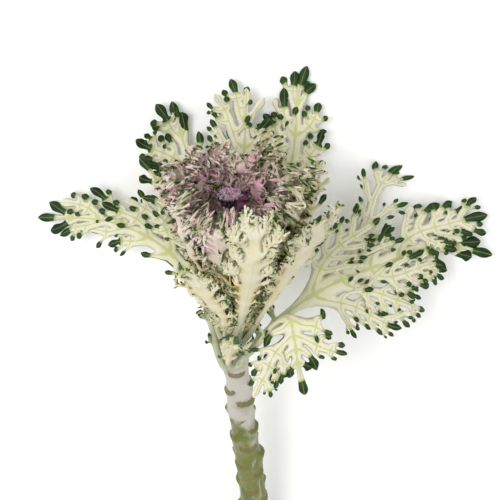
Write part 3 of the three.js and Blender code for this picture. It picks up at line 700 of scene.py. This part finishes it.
def bend_sheet(vertices, spine, lead, leaf, habit):
    """Bends a plan along its spine, with its waves and its cup."""
    x, y = vertices[:, Plan.ALONG] + lead, vertices[:, Plan.LEFT]
    at = np.clip(x / spine.length, 0, 1)
    along = spine.tangent(at)
    faces = np.array(leaf["faces"], float)
    past_lead = np.clip((x - lead) / (spine.length - lead), 0, 0.999)
    place = past_lead * (len(faces) - 1)
    low = place.astype(int)
    high = np.minimum(low + 1, len(faces) - 1)
    up = faces[low] + (faces[high] - faces[low]) * (place - low)[:, None]
    up = unit(up - along * np.sum(up * along, axis=1, keepdims=True))
    left = np.cross(up, along)
    flat = np.stack([x, y], axis=1)
    seed = leaf["seed"]
    long_waves = waves(flat, habit["wave_length"], seed)
    swing = long_waves + 0.35 * waves(flat, habit["wave_length"] * 0.37, seed + 3)
    z = vertices[:, Plan.UP] + vertices[:, Plan.RUFFLE] * habit["wave"] * swing
    cup = leaf.get("cup", NEARLY_FLAT)
    bow = cup * y
    turned_up = up * np.cos(bow)[:, None] - left * np.sin(bow)[:, None]
    point = spine.point(at) + along * (x - at * spine.length)[:, None]
    return (point + left * (np.sin(bow) / cup)[:, None] + up * ((1 - np.cos(bow)) / cup)[:, None]
            + turned_up * z[:, None])


def thicken(points, faces, vertices, habit):
    """A closed blade: its upper and lower faces meet along the cut edge, and ribs stand out below."""
    keys, _, cut = sheet_edges(faces)
    on_cut = np.zeros(len(points), bool)
    on_cut[keys[cut].reshape(-1)] = True
    normals = np.zeros_like(points)
    across = np.cross(points[faces[:, 2]] - points[faces[:, 0]], points[faces[:, 3]] - points[faces[:, 1]])
    for corner in range(4):
        np.add.at(normals, faces[:, corner], across)
    normals = unit(normals)
    inner = np.clip(vertices[:, Plan.INNER], 0, 1)
    half = np.maximum(vertices[:, Plan.THICK], habit["thickness"] * 0.42 * np.sqrt(inner)) * ~on_cut
    ridge = smooth(inner, 0.6, 0.98) * vertices[:, Plan.RIB] * habit["rib"] * ~on_cut
    upper = points + normals * (half - 0.25 * ridge)[:, None]
    lower = points - normals * (half + ridge)[:, None]
    inside = np.flatnonzero(~on_cut)
    below = np.arange(len(points))
    below[inside] = len(points) + np.arange(len(inside))
    side = np.concatenate([np.where(on_cut, 0.5, 1.0), np.zeros(len(inside))])
    source = np.concatenate([np.arange(len(points)), inside])
    return np.vstack([upper, lower[inside]]), np.vstack([faces, below[faces][:, ::-1]]), source, side


def blade(leaf, spine, lead, habit):
    """One leaf's closed mesh in the plant's frame, with the values that its material reads."""
    vertices, faces = leaf_plan(leaf, spine.length - lead, lead, habit)
    for _ in range(habit["levels"]):
        vertices, faces = subdivide(vertices, faces)
    sheet = bend_sheet(vertices, spine, lead, leaf, habit)
    points, faces, source, side = thicken(sheet, faces, vertices, habit)
    read = vertices[source]
    values = dict(
        tip=read[:, Plan.TIP], inner=read[:, Plan.INNER], vein=read[:, Plan.VEIN], rib=read[:, Plan.RIB],
        fringe=read[:, Plan.RUFFLE], along=np.clip(read[:, Plan.ALONG] / (spine.length - lead), 0, 1),
        upper_side=side,
    )
    return points, faces.tolist(), values


def join_meshes(meshes):
    """Several closed meshes as one set of points, faces and values."""
    points, faces, offset = [], [], 0
    for some_points, some_faces, _ in meshes:
        points.append(some_points)
        faces += [[corner + offset for corner in face] for face in some_faces]
        offset += len(some_points)
    values = {name: np.concatenate([entry[2][name] for entry in meshes]) for name in meshes[0][2]}
    return np.vstack(points), faces, values


def make_piece(name, mesh_parts, material, slot, *nodes):
    """Makes a smooth piece that lies with the plant and stands for these nodes."""
    points, faces, values = mesh_parts
    if not faces:
        raise RuntimeError(name + " has no faces")
    mesh = bpy.data.meshes.new(name)
    mesh.from_pydata(lay_down(points).tolist(), [], faces)
    for label, numbers in values.items():
        layer = mesh.attributes.new(label, "FLOAT", "POINT")
        layer.data.foreach_set("value", np.asarray(numbers, np.float32))
    mesh.shade_smooth()
    mesh.materials.append(material)
    piece = bpy.data.objects.new(name, mesh)
    bpy.context.scene.collection.objects.link(piece)
    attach(piece, "root")
    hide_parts(*nodes)


def scar_values(grid_at, grid_angle):
    """How far the leaf scars rise out of the stem's skin, and how brown they are."""
    length = STEM_LINE.length
    rise, brown = np.zeros_like(grid_at), np.zeros_like(grid_at)
    for scar in range(SCAR_COUNT):
        towards = scar * GOLDEN_ANGLE + SCAR_TURN
        around = np.arctan2(np.sin(grid_angle - towards), np.cos(grid_angle - towards))
        up = (grid_at - FIRST_SCAR_AT - SCARS_SPAN * scar / SCAR_COUNT) / SCAR_HEIGHT
        fall = np.where(up > 0, np.exp(-up * up * 2.2), np.exp(-up * up * 0.25))
        rise += 0.6 * SCAR_RISE * fall * np.exp(-(around / SCAR_SPREAD) ** 2 * 1.4)
    for scar in range(CRESCENTS):
        towards = scar * GOLDEN_ANGLE + CRESCENT_TURN
        around = np.arctan2(np.sin(grid_angle - towards), np.cos(grid_angle - towards))
        across = around * stem_radius(grid_at) / (CRESCENT_HALF * mix(0.8, 1.15, draw(scar, 2)))
        step = (scar + 0.4 * draw(scar, 1)) / CRESCENTS
        place = FIRST_SCAR_AT + (LAST_CRESCENT_AT - FIRST_SCAR_AT) * step
        up = (grid_at - place) * length - CRESCENT_SAG * across ** 2
        beside = smooth(np.abs(across), 1.25, 0.75)
        shelf = np.where(up > 0, np.exp(-(up / CRESCENT_LIP) ** 2), np.exp(-(up / CRESCENT_SHELF) ** 2))
        rise += CRESCENT_RISE * mix(0.6, 1.3, draw(scar, 3)) * shelf * beside
        band = np.exp(-((up + 0.1) / CRESCENT_BAND) ** 2)
        brown = np.maximum(brown, band * beside * mix(0.55, 1.0, draw(scar, 4)))
    return rise, brown


def stem_mesh(start, end, rings, sides, scarred):
    """A closed tube of the stem's radius between two places on its centreline."""
    body = np.linspace(start, end, rings)
    inset = np.array(CAP_ROWS)
    at = np.concatenate([np.full(len(inset), start), body, np.full(len(inset), end)])
    share = np.concatenate([inset, np.ones(rings), inset[::-1]])
    angle = np.arange(sides) / sides * math.tau
    grid_at, grid_angle = np.meshgrid(at, angle, indexing="ij")
    rise, brown = scar_values(grid_at, grid_angle) if scarred else (0 * grid_at, 0 * grid_at)
    radius = (stem_radius(grid_at) + rise) * share[:, None]
    point, _, right, front = stem_frame(grid_at)
    points = point + front * (np.cos(grid_angle) * radius)[..., None]
    points = (points + right * (np.sin(grid_angle) * radius)[..., None]).reshape(-1, 3)
    faces = []
    for ring in range(len(at) - 1):
        low, high = ring * sides, (ring + 1) * sides
        for side in range(sides):
            after = (side + 1) % sides
            faces.append([low + side, high + side, high + after, low + after])
    faces.append(list(range(sides)))
    faces.append([len(points) - 1 - side for side in range(sides)])
    cut = np.broadcast_to((1 - share)[:, None], grid_at.shape)
    values = dict(along=grid_at / STEM_TOP_AT, scar=brown, cut=cut, rise=rise / SCAR_RISE)
    return points, faces, {name: numbers.reshape(-1) for name, numbers in values.items()}


def outer_spine(leaf):
    """A leaf's line starts in the stem, comes through its skin and follows the leaf's path.

    Also gives its lead, which is how much of the line lies before the skin.
    """
    at, azimuth = leaf["start"]
    outward = out_of_stem(at, math.radians(azimuth))
    radius = float(stem_radius(at))
    clear = radius + SKIN_CLEARANCE * PETIOLE_THICKNESS
    foot = stem_frame(at - SHEATH_DROP)[0] + outward * radius * FOOT_DEPTH
    start = stem_frame(at + SHEATH_RISE)[0] + outward * clear
    past_skin = float(np.linalg.norm(np.array(leaf["path"][0]) - start))
    lead = Line([foot, start, leaf["path"][0]]).length - past_skin
    return Line([foot, start, *leaf["path"]]), lead


def head_leaf(index):
    """A head leaf and its line. The outer ones make the cup, and the inner ones fill it."""
    age = 1 - index / (HEAD_LEAVES - 1)
    azimuth = HEAD_FIRST_AZIMUTH + index * GOLDEN_ANGLE
    place = mix(HEAD_TOP_AT, HEAD_BASE_AT + 0.006, age ** 1.15)
    point = stem_frame(place)[0]
    top, top_along = stem_frame(1.0)[:2]
    outward = out_of_stem(place, azimuth)
    out = mix(INNER_RIM_RADIUS, RIM_RADIUS, age) * (0.95 + 0.1 * draw(index, 1))
    tip = top + outward * out + RIM_SHIFT * age
    tip = tip + top_along * (RIM_HEIGHT + 3 * (draw(index, 2) - 0.5) - 3 * (1 - age))
    start = point + outward * float(stem_radius(place)) * 0.5
    elbow = (start + tip) / 2 + outward * mix(4.5, 2.5, age)
    length = float(np.linalg.norm(tip - start))
    reach = mix(0.2, 0.17, age) * length
    bays = int(mix(4.2, 7.9, age))
    lobes = [(mix(52, 16, bay / bays), reach * mix(0.7, 1.2, draw(index, bay + 5)), 5)
             for bay in range(bays)]
    leaf = dict(
        faces=[tuple(-outward), tuple(-outward + 0.5 * top_along)],
        petiole=mix(1.2, 3.6, age), blade=(0.12, 0.95), palm=mix(3.6, 9.0, age),
        spoon=mix(0.48, 0.64, age), waist=mix(0.5, 0.75, age), cup=mix(0.09, 0.035, age),
        plain=True, seed=300 + index * 5, green=mix(0.2, 0.62, age), left=lobes, right=lobes,
    )
    return leaf, Line([start, elbow, tip])


def foot_leaf(index):
    """A small frilled leaf in front of the head's foot and its line."""
    azimuth, out, up = FOOT_LEAVES[index]
    point, along = stem_frame(FOOT_LEAVES_AT)[:2]
    outward = out_of_stem(FOOT_LEAVES_AT, math.radians(azimuth))
    start = point + outward * float(stem_radius(FOOT_LEAVES_AT)) * 0.5
    tip = point + outward * out + along * up
    elbow = (start + tip) / 2 + outward * 1.5 - along
    length = float(np.linalg.norm(tip - start))
    lobes = [(mix(64, 24, bay / FOOT_LEAF_BAYS), length * mix(0.26, 0.4, draw(index, bay + 5)), 3)
             for bay in range(FOOT_LEAF_BAYS)]
    leaf = dict(
        faces=[tuple(-outward), tuple(-outward + 0.5 * along)], petiole=1.3, blade=(0.3, 0.95), palm=2.4,
        spoon=0.5, waist=0.5, cup=0.08, plain=True, seed=800 + index * 5, green=0.75,
        left=lobes, right=lobes,
    )
    return leaf, Line([start, elbow, tip])


def head_mesh(leaves, habit):
    """Some of the head's leaves, with how pink, how dark and how olive each point is; the olive is partly
    the leaves' own colour and partly painted shade.
    """
    points, faces, values = join_meshes([blade(leaf, spine, 0.0, habit) for leaf, spine in leaves])
    top = stem_frame(1.0)[0]
    values["blush"] = 1 - smooth(np.linalg.norm(points - BLUSH_CENTRE, axis=1), *BLUSH_REACH)
    values["depth"] = 1 - smooth(np.linalg.norm(points - top, axis=1), *PLUM_REACH)
    # Olive lies wherever there is no blush. On the palms it is partly the leaves' own olive-yellow and
    # partly painted shade deep in the cup.
    values["gold"] = 1 - values["blush"]
    return points, faces, values


def heart_mesh(habit):
    """The bud of small crinkled leaves over the growing point."""
    top, along, _, _ = stem_frame(1.0)
    meshes = []
    for index in range(HEART_LEAVES):
        age = 1 - index / HEART_LEAVES
        outward = out_of_stem(1.0, index * GOLDEN_ANGLE)
        out = HEART_RADIUS * age ** 0.6
        height = HEART_HEIGHT * mix(0.55, 1.1, draw(index, 3)) * (1 - 0.25 * age)
        path = [top + outward * (out * 0.3) - along * 2.0,
                top + outward * (out * 0.75) + along * height * 0.35,
                top + outward * (out * 1.0) + along * height * 0.8,
                top + outward * (out * mix(1.0, 1.35, draw(index, 4))) + along * height * 1.12]
        side = mix(0.7, 1.3, age)
        lobes = [(60, side * 1.0, 10), (52, side * 1.4, 10), (40, side * 1.5, 10), (28, side * 1.3, 10)]
        leaf = dict(
            faces=[tuple(-outward)], petiole=0.6, blade=(0.3, 0.94), palm=mix(0.9, 1.7, age), spoon=0.34,
            waist=0.34, cup=0.2, plain=True, seed=600 + index * 3, green=0.0, left=lobes, right=lobes,
        )
        meshes.append(blade(leaf, Line(path), 0.0, habit))
    points, faces, values = join_meshes(meshes)
    # The bud's top and far side are silvery, and its foot and near side are nearly black. The near black is
    # painted shade over the bud's own dark plum, and the silver is partly its own bloom and partly a
    # painted highlight.
    lit = (points - top) @ along / HEART_HEIGHT + 0.09 * (points - top)[:, 1]
    values["depth"] = 1 - smooth(lit, 0.45, 1.3)
    return points, faces, values


def node(tree, kind, inputs, output=0, **settings):
    """Adds a shader node with its settings, values and links, and gives one of its outputs."""
    made = tree.nodes.new("ShaderNode" + kind)
    for key, value in settings.items():
        setattr(made, key, value)
    for key, value in inputs.items():
        socket = made.inputs[key]
        if isinstance(value, bpy.types.NodeSocket):
            tree.links.new(value, socket)
        elif hasattr(socket.default_value, "__len__"):
            socket.default_value = (*value, 1.0)[:len(socket.default_value)]
        else:
            socket.default_value = value
    return made.outputs[output] if made.outputs else made


def new_material(name):
    material = bpy.data.materials.new(name)
    material.use_nodes = True
    material.node_tree.nodes.clear()
    return material, material.node_tree


def layered(tree, base, ranges, layers):
    """A base colour with layers over it, and the places where they lie, as shares from 0 to 1.

    A range gives a place's name, the value it follows, and where its share is 0 and where it is 1.
    A layer gives the places where it lies, its strength and its colour.
    """
    share = {
        name: node(tree, "MapRange", {0: value, 1: low, 2: high}, interpolation_type="SMOOTHSTEP")
        for name, value, low, high in ranges
    }
    colour = (*base, 1.0)
    for places, strength, over in layers:
        for name in places.split(" and "):
            strength = node(tree, "Math", {0: share[name], 1: strength}, operation="MULTIPLY")
        colour = node(tree, "Mix", {0: strength, 6: colour, 7: over}, 2, data_type="RGBA")
    return colour, share


def leaf_material(name, base, layers):
    """Kale leaf, grown: a waxy skin over pale spongy cells.

    The wax gives it a satin gloss and a bloom on its back, and the cells let a little light
    through. Only the tips hold enough leaf green to be dark, behind a sharp border.
    """
    material, tree = new_material(name)
    place = node(tree, "TexCoord", {}, "Object")
    # Green and cream drift over about 7 mm, the size of a lobe's foot.
    patches = node(tree, "TexNoise", {"Vector": place, "Scale": 1 / 0.007, "Detail": 2.0})
    broad = node(tree, "TexNoise", {"Vector": place, "Scale": 1 / 0.013, "Detail": 2.0})
    # The cells are about 0.05 mm across, and are drawn 0.7 mm across to show as a grain.
    cells = node(tree, "TexNoise", {"Vector": place, "Scale": 1 / 0.0007, "Detail": 3.0})
    given = {
        name: node(tree, "Attribute", {}, "Fac", attribute_name=name)
        for name in (
            "tip", "inner", "vein", "rib", "fringe", "along", "upper_side", "blush", "depth", "gold")
    }
    # The border of a green tip wavers by about half a millimetre.
    border = node(tree, "Math", {0: patches, 1: 1.6, 2: given["tip"]}, operation="MULTIPLY_ADD")
    mottled = node(tree, "Math", {0: cells, 1: 0.35, 2: patches}, operation="MULTIPLY_ADD")
    colour, share = layered(tree, base, (
        ("patch", mottled, 0.52, 0.86),
        ("cell", cells, 0.35, 0.68),
        ("vein", given["vein"], 1.5, 0.4),
        ("beside vein", given["vein"], 5.0, 0.8),
        ("margin", given["inner"], 0.3, 0.1),
        ("dark patch", broad, 0.6, 0.66),
        ("foot", given["along"], 1.1, 0.1),
        ("petiole", given["along"], 0.34, 0.08),
        ("back", given["upper_side"], 0.45, 0.05),
        ("rib", given["rib"], 0.15, 0.8),
        ("halo", border, -0.9, 0.75),
        ("green", border, 0.55, 0.95),
        ("tip end", border, 1.2, 5.0),
        # The palm, near each leaf's foot and its lobes' feet, takes an olive that is partly the leaf's own
        # colour and partly painted shade.
        ("palm", given["fringe"], 1.0, 0.2),
        ("blush", given["blush"], 0.1, 0.75),
        ("depth", given["depth"], 0.05, 0.8),
        ("gold", given["gold"], 0.0, 1.0),
    ), layers)
    relief = node(tree, "Math", {0: share["vein"], 1: 1.2, 2: cells}, operation="MULTIPLY_ADD")
    bump = node(tree, "Bump", {"Strength": 0.5, "Distance": 0.0002, "Height": relief})
    gloss = node(tree, "MapRange", {0: mottled, 1: 0.4, 2: 0.9, 3: 0.4, 4: 0.58})
    skin = node(tree, "BsdfPrincipled", {
        "Base Color": colour, "Roughness": gloss, "Normal": bump, "IOR": 1.42,
        "Specular IOR Level": 0.35, "Subsurface Weight": 0.25, "Subsurface Radius": (1.0, 1.0, 0.6),
        "Subsurface Scale": 0.0009,
    })
    node(tree, "OutputMaterial", {"Surface": skin})
    return material


def stem_material(colours):
    """Kale stem, grown: a waxy green skin that turns corky and pale with age, and a woody cut.

    The wax keeps it satin, and the cork gives it brown scars and fine pale scratches.
    """
    material, tree = new_material("Kale stem, waxy and corky")
    place = node(tree, "TexCoord", {}, "Object")
    # Stains are about 8 mm wide, and the cork's grain, about 0.2 mm, is drawn at 0.9 mm to show.
    stains = node(tree, "TexNoise", {"Vector": place, "Scale": 1 / 0.008, "Detail": 3.0})
    cork = node(tree, "TexNoise", {"Vector": place, "Scale": 1 / 0.0009, "Detail": 4.0})
    # Scratches run aslant, about 0.8 mm wide and 6 mm long.
    slant = node(tree, "Mapping", {
        "Vector": place, "Rotation": (0.0, 0.0, 0.9), "Scale": (1.0, 0.13, 0.5),
    })
    scratches = node(tree, "TexNoise", {"Vector": slant, "Scale": 1 / 0.0011, "Detail": 2.0})
    given = {
        name: node(tree, "Attribute", {}, "Fac", attribute_name=name)
        for name in ("along", "scar", "cut", "rise")
    }
    height = node(tree, "Math", {0: stains, 1: 0.34, 2: given["along"]}, operation="MULTIPLY_ADD")
    rough_scar = node(tree, "Math", {0: cork, 1: 0.8, 2: given["scar"]}, operation="MULTIPLY_ADD")
    colour, _ = layered(tree, colours.stem_green, (
        ("upper", height, 0.79, 0.93),
        ("low", height, 0.62, 0.2),
        ("stain", stains, 0.48, 0.62),
        ("pale stain", stains, 0.5, 0.32),
        ("cork", cork, 0.4, 0.66),
        ("scratch", scratches, 0.6, 0.72),
        ("scar", rough_scar, 0.72, 1.0),
        ("shelf", given["rise"], 0.55, 1.1),
        ("rind", given["cut"], 0.0, 0.05),
        ("wood", given["cut"], 0.09, 0.14),
        ("pith", given["cut"], 0.34, 0.46),
    ), (
        ("low", 0.8, colours.stem_low),
        ("pale stain", 0.6, colours.stem_low),
        ("stain and cork", 0.6, colours.stem_brown),
        ("scratch", 0.5, colours.stem_pale),
        ("upper", 1.0, colours.stem_pale),
        ("upper and pale stain", 0.6, colours.stem_mauve),
        ("shelf", 0.3, colours.stem_green),
        ("scar", 0.85, colours.scar),
        ("scar and cork", 0.6, colours.scar_green),
        ("rind", 1.0, colours.stem_green),
        ("wood", 1.0, colours.wood),
        ("pith", 1.0, colours.pith),
        ("rind and cork", 0.12, colours.stem_brown),
    ))
    bump = node(tree, "Bump", {"Strength": 0.5, "Distance": 0.0003, "Height": cork})
    gloss = node(tree, "MapRange", {0: rough_scar, 1: 0.3, 2: 1.1, 3: 0.42, 4: 0.7})
    skin = node(tree, "BsdfPrincipled", {
        "Base Color": colour, "Roughness": gloss, "Normal": bump, "IOR": 1.45,
        "Subsurface Weight": 0.08, "Subsurface Radius": (0.7, 0.8, 0.4), "Subsurface Scale": 0.002,
    })
    node(tree, "OutputMaterial", {"Surface": skin})
    return material


def colour_property(name, description, hex_colour):
    """A colour that the user can change, from an sRGB hex value."""
    return bpy.props.FloatVectorProperty(
        name=name, description=description, default=linear(hex_colour), size=3, min=0, max=1,
        subtype="COLOR")


class KaleSizes(bpy.types.PropertyGroup):
    """Sizes of the kale and its picture."""

    thickness: bpy.props.FloatProperty(
        name="Blade thickness", description="Thickness of the blades, as a share of the real leaf's",
        default=1.0, min=0.5, max=2.0, subtype="FACTOR")
    waviness: bpy.props.FloatProperty(
        name="Waviness", description="Height of the blades' waves, as a share of the real leaf's",
        default=1.0, min=0.0, max=2.0, subtype="FACTOR")
    camera_distance: bpy.props.FloatProperty(
        name="Camera distance", description="Distance from the camera to the plant",
        default=0.6, min=0.3, unit="LENGTH")
    picture_width: bpy.props.FloatProperty(
        name="Picture width", description="Width that the picture takes in at the plant",
        default=0.2, min=0.05, unit="LENGTH")


class KaleColours(bpy.types.PropertyGroup):
    """Colours of the kale."""

    cream: colour_property("Cream", "Blade of a leaf", "#D8D4C1")
    cream_shade: colour_property("Cream shade", "Greener patches of the blade", "#D5D4B4")
    vein: colour_property("Vein", "Veins of the blade", "#B4B96C")
    back: colour_property("Back", "Bloom on the backs of the leaves", "#C2C7AE")
    warm: colour_property("Warm cream", "Edges of the head's leaves", "#D9D0BA")
    warm_shade: colour_property("Warm shade", "Darker patches of the head's leaves", "#CFC08E")
    petiole: colour_property("Petiole", "Stalks of the leaves", "#A9B294")
    halo: colour_property("Tip border", "Yellow-green border of the green tips", "#8A9848")
    tip: colour_property("Tip", "Green lobe tips", "#254511")
    tip_end: colour_property("Tip end", "Darker ends of the tips", "#0E2A09")
    tip_back: colour_property("Tip back", "Bloom on the backs of the tips", "#4C6649")
    blush: colour_property("Blush", "Inner leaves", "#EAD5CD")
    deep_blush: colour_property("Deep blush", "Darker patches of the inner leaves", "#DAA6B6")
    # Olive is partly the palms' own olive-yellow and partly painted shade where the palms lie deep in the
    # cup.
    olive: colour_property("Olive", "Shaded inner palms of the head", "#CDAF4C")
    plum: colour_property("Plum", "Leaves round the growing point", "#7D3A62")
    # Heart is the near black of painted shade at the bud's foot and near side. Silver is partly the bud's
    # own bloom and partly a painted highlight on its top and far side.
    heart: colour_property("Heart", "Feet of the bud leaves", "#24121F")
    silver: colour_property("Silver", "Edges of the bud leaves", "#9A90A4")
    stem_pale: colour_property("Pale stem", "Upper stem", "#B7B2A9")
    stem_mauve: colour_property("Mauve stem", "Patches of the upper stem", "#9A9186")
    stem_green: colour_property("Green stem", "Middle of the stem", "#697135")
    stem_low: colour_property("Low stem", "Foot of the stem", "#535A28")
    stem_brown: colour_property("Stem brown", "Stains of the stem", "#8D7A5C")
    scar: colour_property("Scar", "Leaf scars", "#6F6539")
    scar_green: colour_property("Scar green", "Green patches of the scars", "#5C6B33")
    wood: colour_property("Wood", "Woody ring of the cut end", "#C9C79A")
    pith: colour_property("Pith", "Pith of the cut end", "#ECEBD6")


def tuned(habit, sizes):
    """A habit with the user's thickness and waviness."""
    return dict(habit, thickness=habit["thickness"] * sizes.thickness, wave=habit["wave"] * sizes.waviness)


def green_tips(colours):
    """The layers that every leaf ends in: the bloom on its back and its green tips."""
    return [
        ("back", 0.4, colours.back), ("back and rib", 0.5, colours.cream),
        ("petiole", 0.75, colours.petiole), ("halo", 0.75, colours.halo),
        ("green", 1.0, colours.tip), ("tip end", 0.9, colours.tip_end),
        ("green and cell", 0.25, colours.tip_end),
        ("green and vein", 0.45, colours.halo), ("green and back", 0.55, colours.tip_back),
    ]


class KALE_OT_stem(bpy.types.Operator):
    """Makes the scarred stem with its cut end"""

    bl_idname = "kale.stem"
    bl_label = "Stem"

    def execute(self, context):
        tube = stem_mesh(0.0, STEM_TOP_AT, STEM_RINGS, STEM_SIDES, True)
        make_piece("kale_stem", tube, stem_material(context.scene.kale_colours), "stem_skin", "stem")
        return {"FINISHED"}


class KALE_OT_outer_leaves(bpy.types.Operator):
    """Makes the feathered and plain leaves round the head"""

    bl_idname = "kale.outer_leaves"
    bl_label = "Outer leaves"

    def execute(self, context):
        colours = context.scene.kale_colours
        feathered = leaf_material("Kale leaf, cream", colours.cream, [
            ("patch", 1.0, colours.cream_shade), ("beside vein and foot", 0.4, colours.cream_shade),
            ("vein", 0.7, colours.vein), ("dark patch and margin", 0.95, colours.tip),
            *green_tips(colours)])
        plain = leaf_material("Kale leaf, warm cream", colours.warm, [
            # The olive on the palms is partly the leaf's own colour and partly painted shade.
            ("patch", 0.8, colours.warm_shade), ("palm", 0.35, colours.olive), *green_tips(colours)])
        for name, leaf in OUTER_LEAVES.items():
            habit, material = (FRINGED, plain) if leaf.get("plain") else (FEATHERED, feathered)
            spine, lead = outer_spine(leaf)
            mesh = blade(leaf, spine, lead, tuned(habit, context.scene.kale_sizes))
            make_piece("kale_" + name, mesh, material, "cream_leaf", name)
        return {"FINISHED"}


class KALE_OT_head(bpy.types.Operator):
    """Makes the crowded frilled leaves of the head and the core that they grow from"""

    bl_idname = "kale.head"
    bl_label = "Head"

    def execute(self, context):
        colours = context.scene.kale_colours
        habit = tuned(FRILLED, context.scene.kale_sizes)
        material = leaf_material("Kale leaf, blushing", colours.warm, [
            # The olive on the palms is partly the leaves' own colour and partly painted shade.
            ("patch", 0.8, colours.warm_shade), ("gold and palm", 0.85, colours.olive),
            ("blush", 0.85, colours.blush), ("blush and patch", 0.8, colours.deep_blush),
            ("depth", 0.9, colours.plum), *green_tips(colours)])
        leaves = [head_leaf(index) for index in range(HEAD_LEAVES)]
        parts = {
            "outer": leaves[:OUTER_HEAD_LEAVES],
            "inner": leaves[OUTER_HEAD_LEAVES:],
            "foot": [foot_leaf(index) for index in range(len(FOOT_LEAVES))],
        }
        for name, part in parts.items():
            make_piece("kale_head_" + name, head_mesh(part, habit), material, "blush_leaf", "head")
        core = stem_mesh(HEAD_BASE_AT, 1.0, CORE_RINGS, CORE_SIDES, False)
        make_piece("kale_head_core", core, stem_material(colours), "stem_skin", "head")
        return {"FINISHED"}


class KALE_OT_heart(bpy.types.Operator):
    """Makes the bud of small dark leaves in the middle of the head"""

    bl_idname = "kale.heart"
    bl_label = "Heart"

    def execute(self, context):
        colours = context.scene.kale_colours
        # The heart colour is painted shade at the bud's foot and near side. The silver left on its top and
        # far side is partly a painted highlight.
        material = leaf_material("Kale bud leaf, plum", colours.silver, [
            ("patch", 0.6, colours.deep_blush), ("depth", 1.0, colours.heart),
            ("back and rib", 0.3, colours.silver)])
        mesh = heart_mesh(tuned(BUDDED, context.scene.kale_sizes))
        make_piece("kale_heart", mesh, material, "plum_leaf", "heart")
        return {"FINISHED"}


class KALE_OT_stage(bpy.types.Operator):
    """Sets out the floor, the light and the camera"""

    bl_idname = "kale.stage"
    bl_label = "Stage"

    def execute(self, context):
        sizes = context.scene.kale_sizes
        mesh = bpy.data.meshes.new("floor")
        corners = [(-FLOOR_HALF, -FLOOR_HALF, 0), (FLOOR_HALF, -FLOOR_HALF, 0), (FLOOR_HALF, FLOOR_HALF, 0),
                   (-FLOOR_HALF, FLOOR_HALF, 0)]
        mesh.from_pydata(corners, [], [(0, 1, 2, 3)])
        floor = bpy.data.objects.new("floor", mesh)
        context.scene.collection.objects.link(floor)
        # White card, calendered: matt, with fibres about 0.3 mm wide that barely show.
        material, tree = new_material("White card, calendered")
        place = node(tree, "TexCoord", {}, "Object")
        fibres = node(tree, "TexNoise", {"Vector": place, "Scale": 1 / 0.0003})
        bump = node(tree, "Bump", {"Strength": 0.05, "Distance": 0.0001, "Height": fibres})
        card = node(tree, "BsdfPrincipled", {
            "Base Color": linear("#FBFBFA"), "Roughness": 0.85, "Normal": bump})
        node(tree, "OutputMaterial", {"Surface": card})
        mesh.materials.append(material)
        floor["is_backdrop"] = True
        # The view shows colours as they are, so that the card stays white.
        context.scene.view_settings.view_transform = "Standard"
        world = bpy.data.worlds.new("Soft studio light")
        world.use_nodes = True
        sky = world.node_tree.nodes["Background"]
        sky.inputs["Color"].default_value = (1, 1, 1, 1)
        sky.inputs["Strength"].default_value = WORLD_LIGHT
        context.scene.world = world
        for name, place, size, power in SOFTBOXES:
            light = bpy.data.lights.new(name, "AREA")
            light.size = size
            light.energy = power
            lamp = bpy.data.objects.new(name, light)
            lamp.location = place
            lamp.rotation_euler = (-Vector(place)).to_track_quat("-Z", "Y").to_euler()
            context.scene.collection.objects.link(lamp)
        data = bpy.data.cameras.new("Camera")
        data.sensor_width = 36.0
        data.lens = data.sensor_width * sizes.camera_distance / sizes.picture_width
        camera = bpy.data.objects.new("Camera", data)
        camera.location = lay_down(np.array([[0.0, 0.0, sizes.camera_distance / METRES]]))[0]
        camera.rotation_euler = (LYING_TILT, 0, 0)
        context.scene.collection.objects.link(camera)
        context.scene.camera = camera
        return {"FINISHED"}


class KALE_PT_panel(bpy.types.Panel):
    """The kale's pieces, sizes and colours"""

    bl_label = "Ornamental kale"
    bl_space_type = "VIEW_3D"
    bl_region_type = "UI"
    bl_category = "Kale"

    def draw(self, context):
        layout = self.layout
        for operator in OPERATORS:
            layout.operator(operator.bl_idname)
        for group in (context.scene.kale_sizes, context.scene.kale_colours):
            for name in type(group).__annotations__:
                layout.prop(group, name)


OPERATORS = (KALE_OT_stage, KALE_OT_stem, KALE_OT_outer_leaves, KALE_OT_head, KALE_OT_heart)
CLASSES = (KaleSizes, KaleColours, *OPERATORS, KALE_PT_panel)


def register():
    for entry in CLASSES:
        bpy.utils.register_class(entry)
    bpy.types.Scene.kale_sizes = bpy.props.PointerProperty(type=KaleSizes)
    bpy.types.Scene.kale_colours = bpy.props.PointerProperty(type=KaleColours)


def unregister():
    del bpy.types.Scene.kale_colours
    del bpy.types.Scene.kale_sizes
    for entry in reversed(CLASSES):
        bpy.utils.unregister_class(entry)


def main():
    register()
    bpy.ops.kale.stage()
    bpy.ops.kale.stem()
    bpy.ops.kale.outer_leaves()
    bpy.ops.kale.head()
    bpy.ops.kale.heart()
    boxes = {"cad": CAD_BOUNDS, "visual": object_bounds()}
    ({
        name: [list(map(float, corner)) for corner in box] for name, box in boxes.items()})


if __name__ == "__main__":
    main()
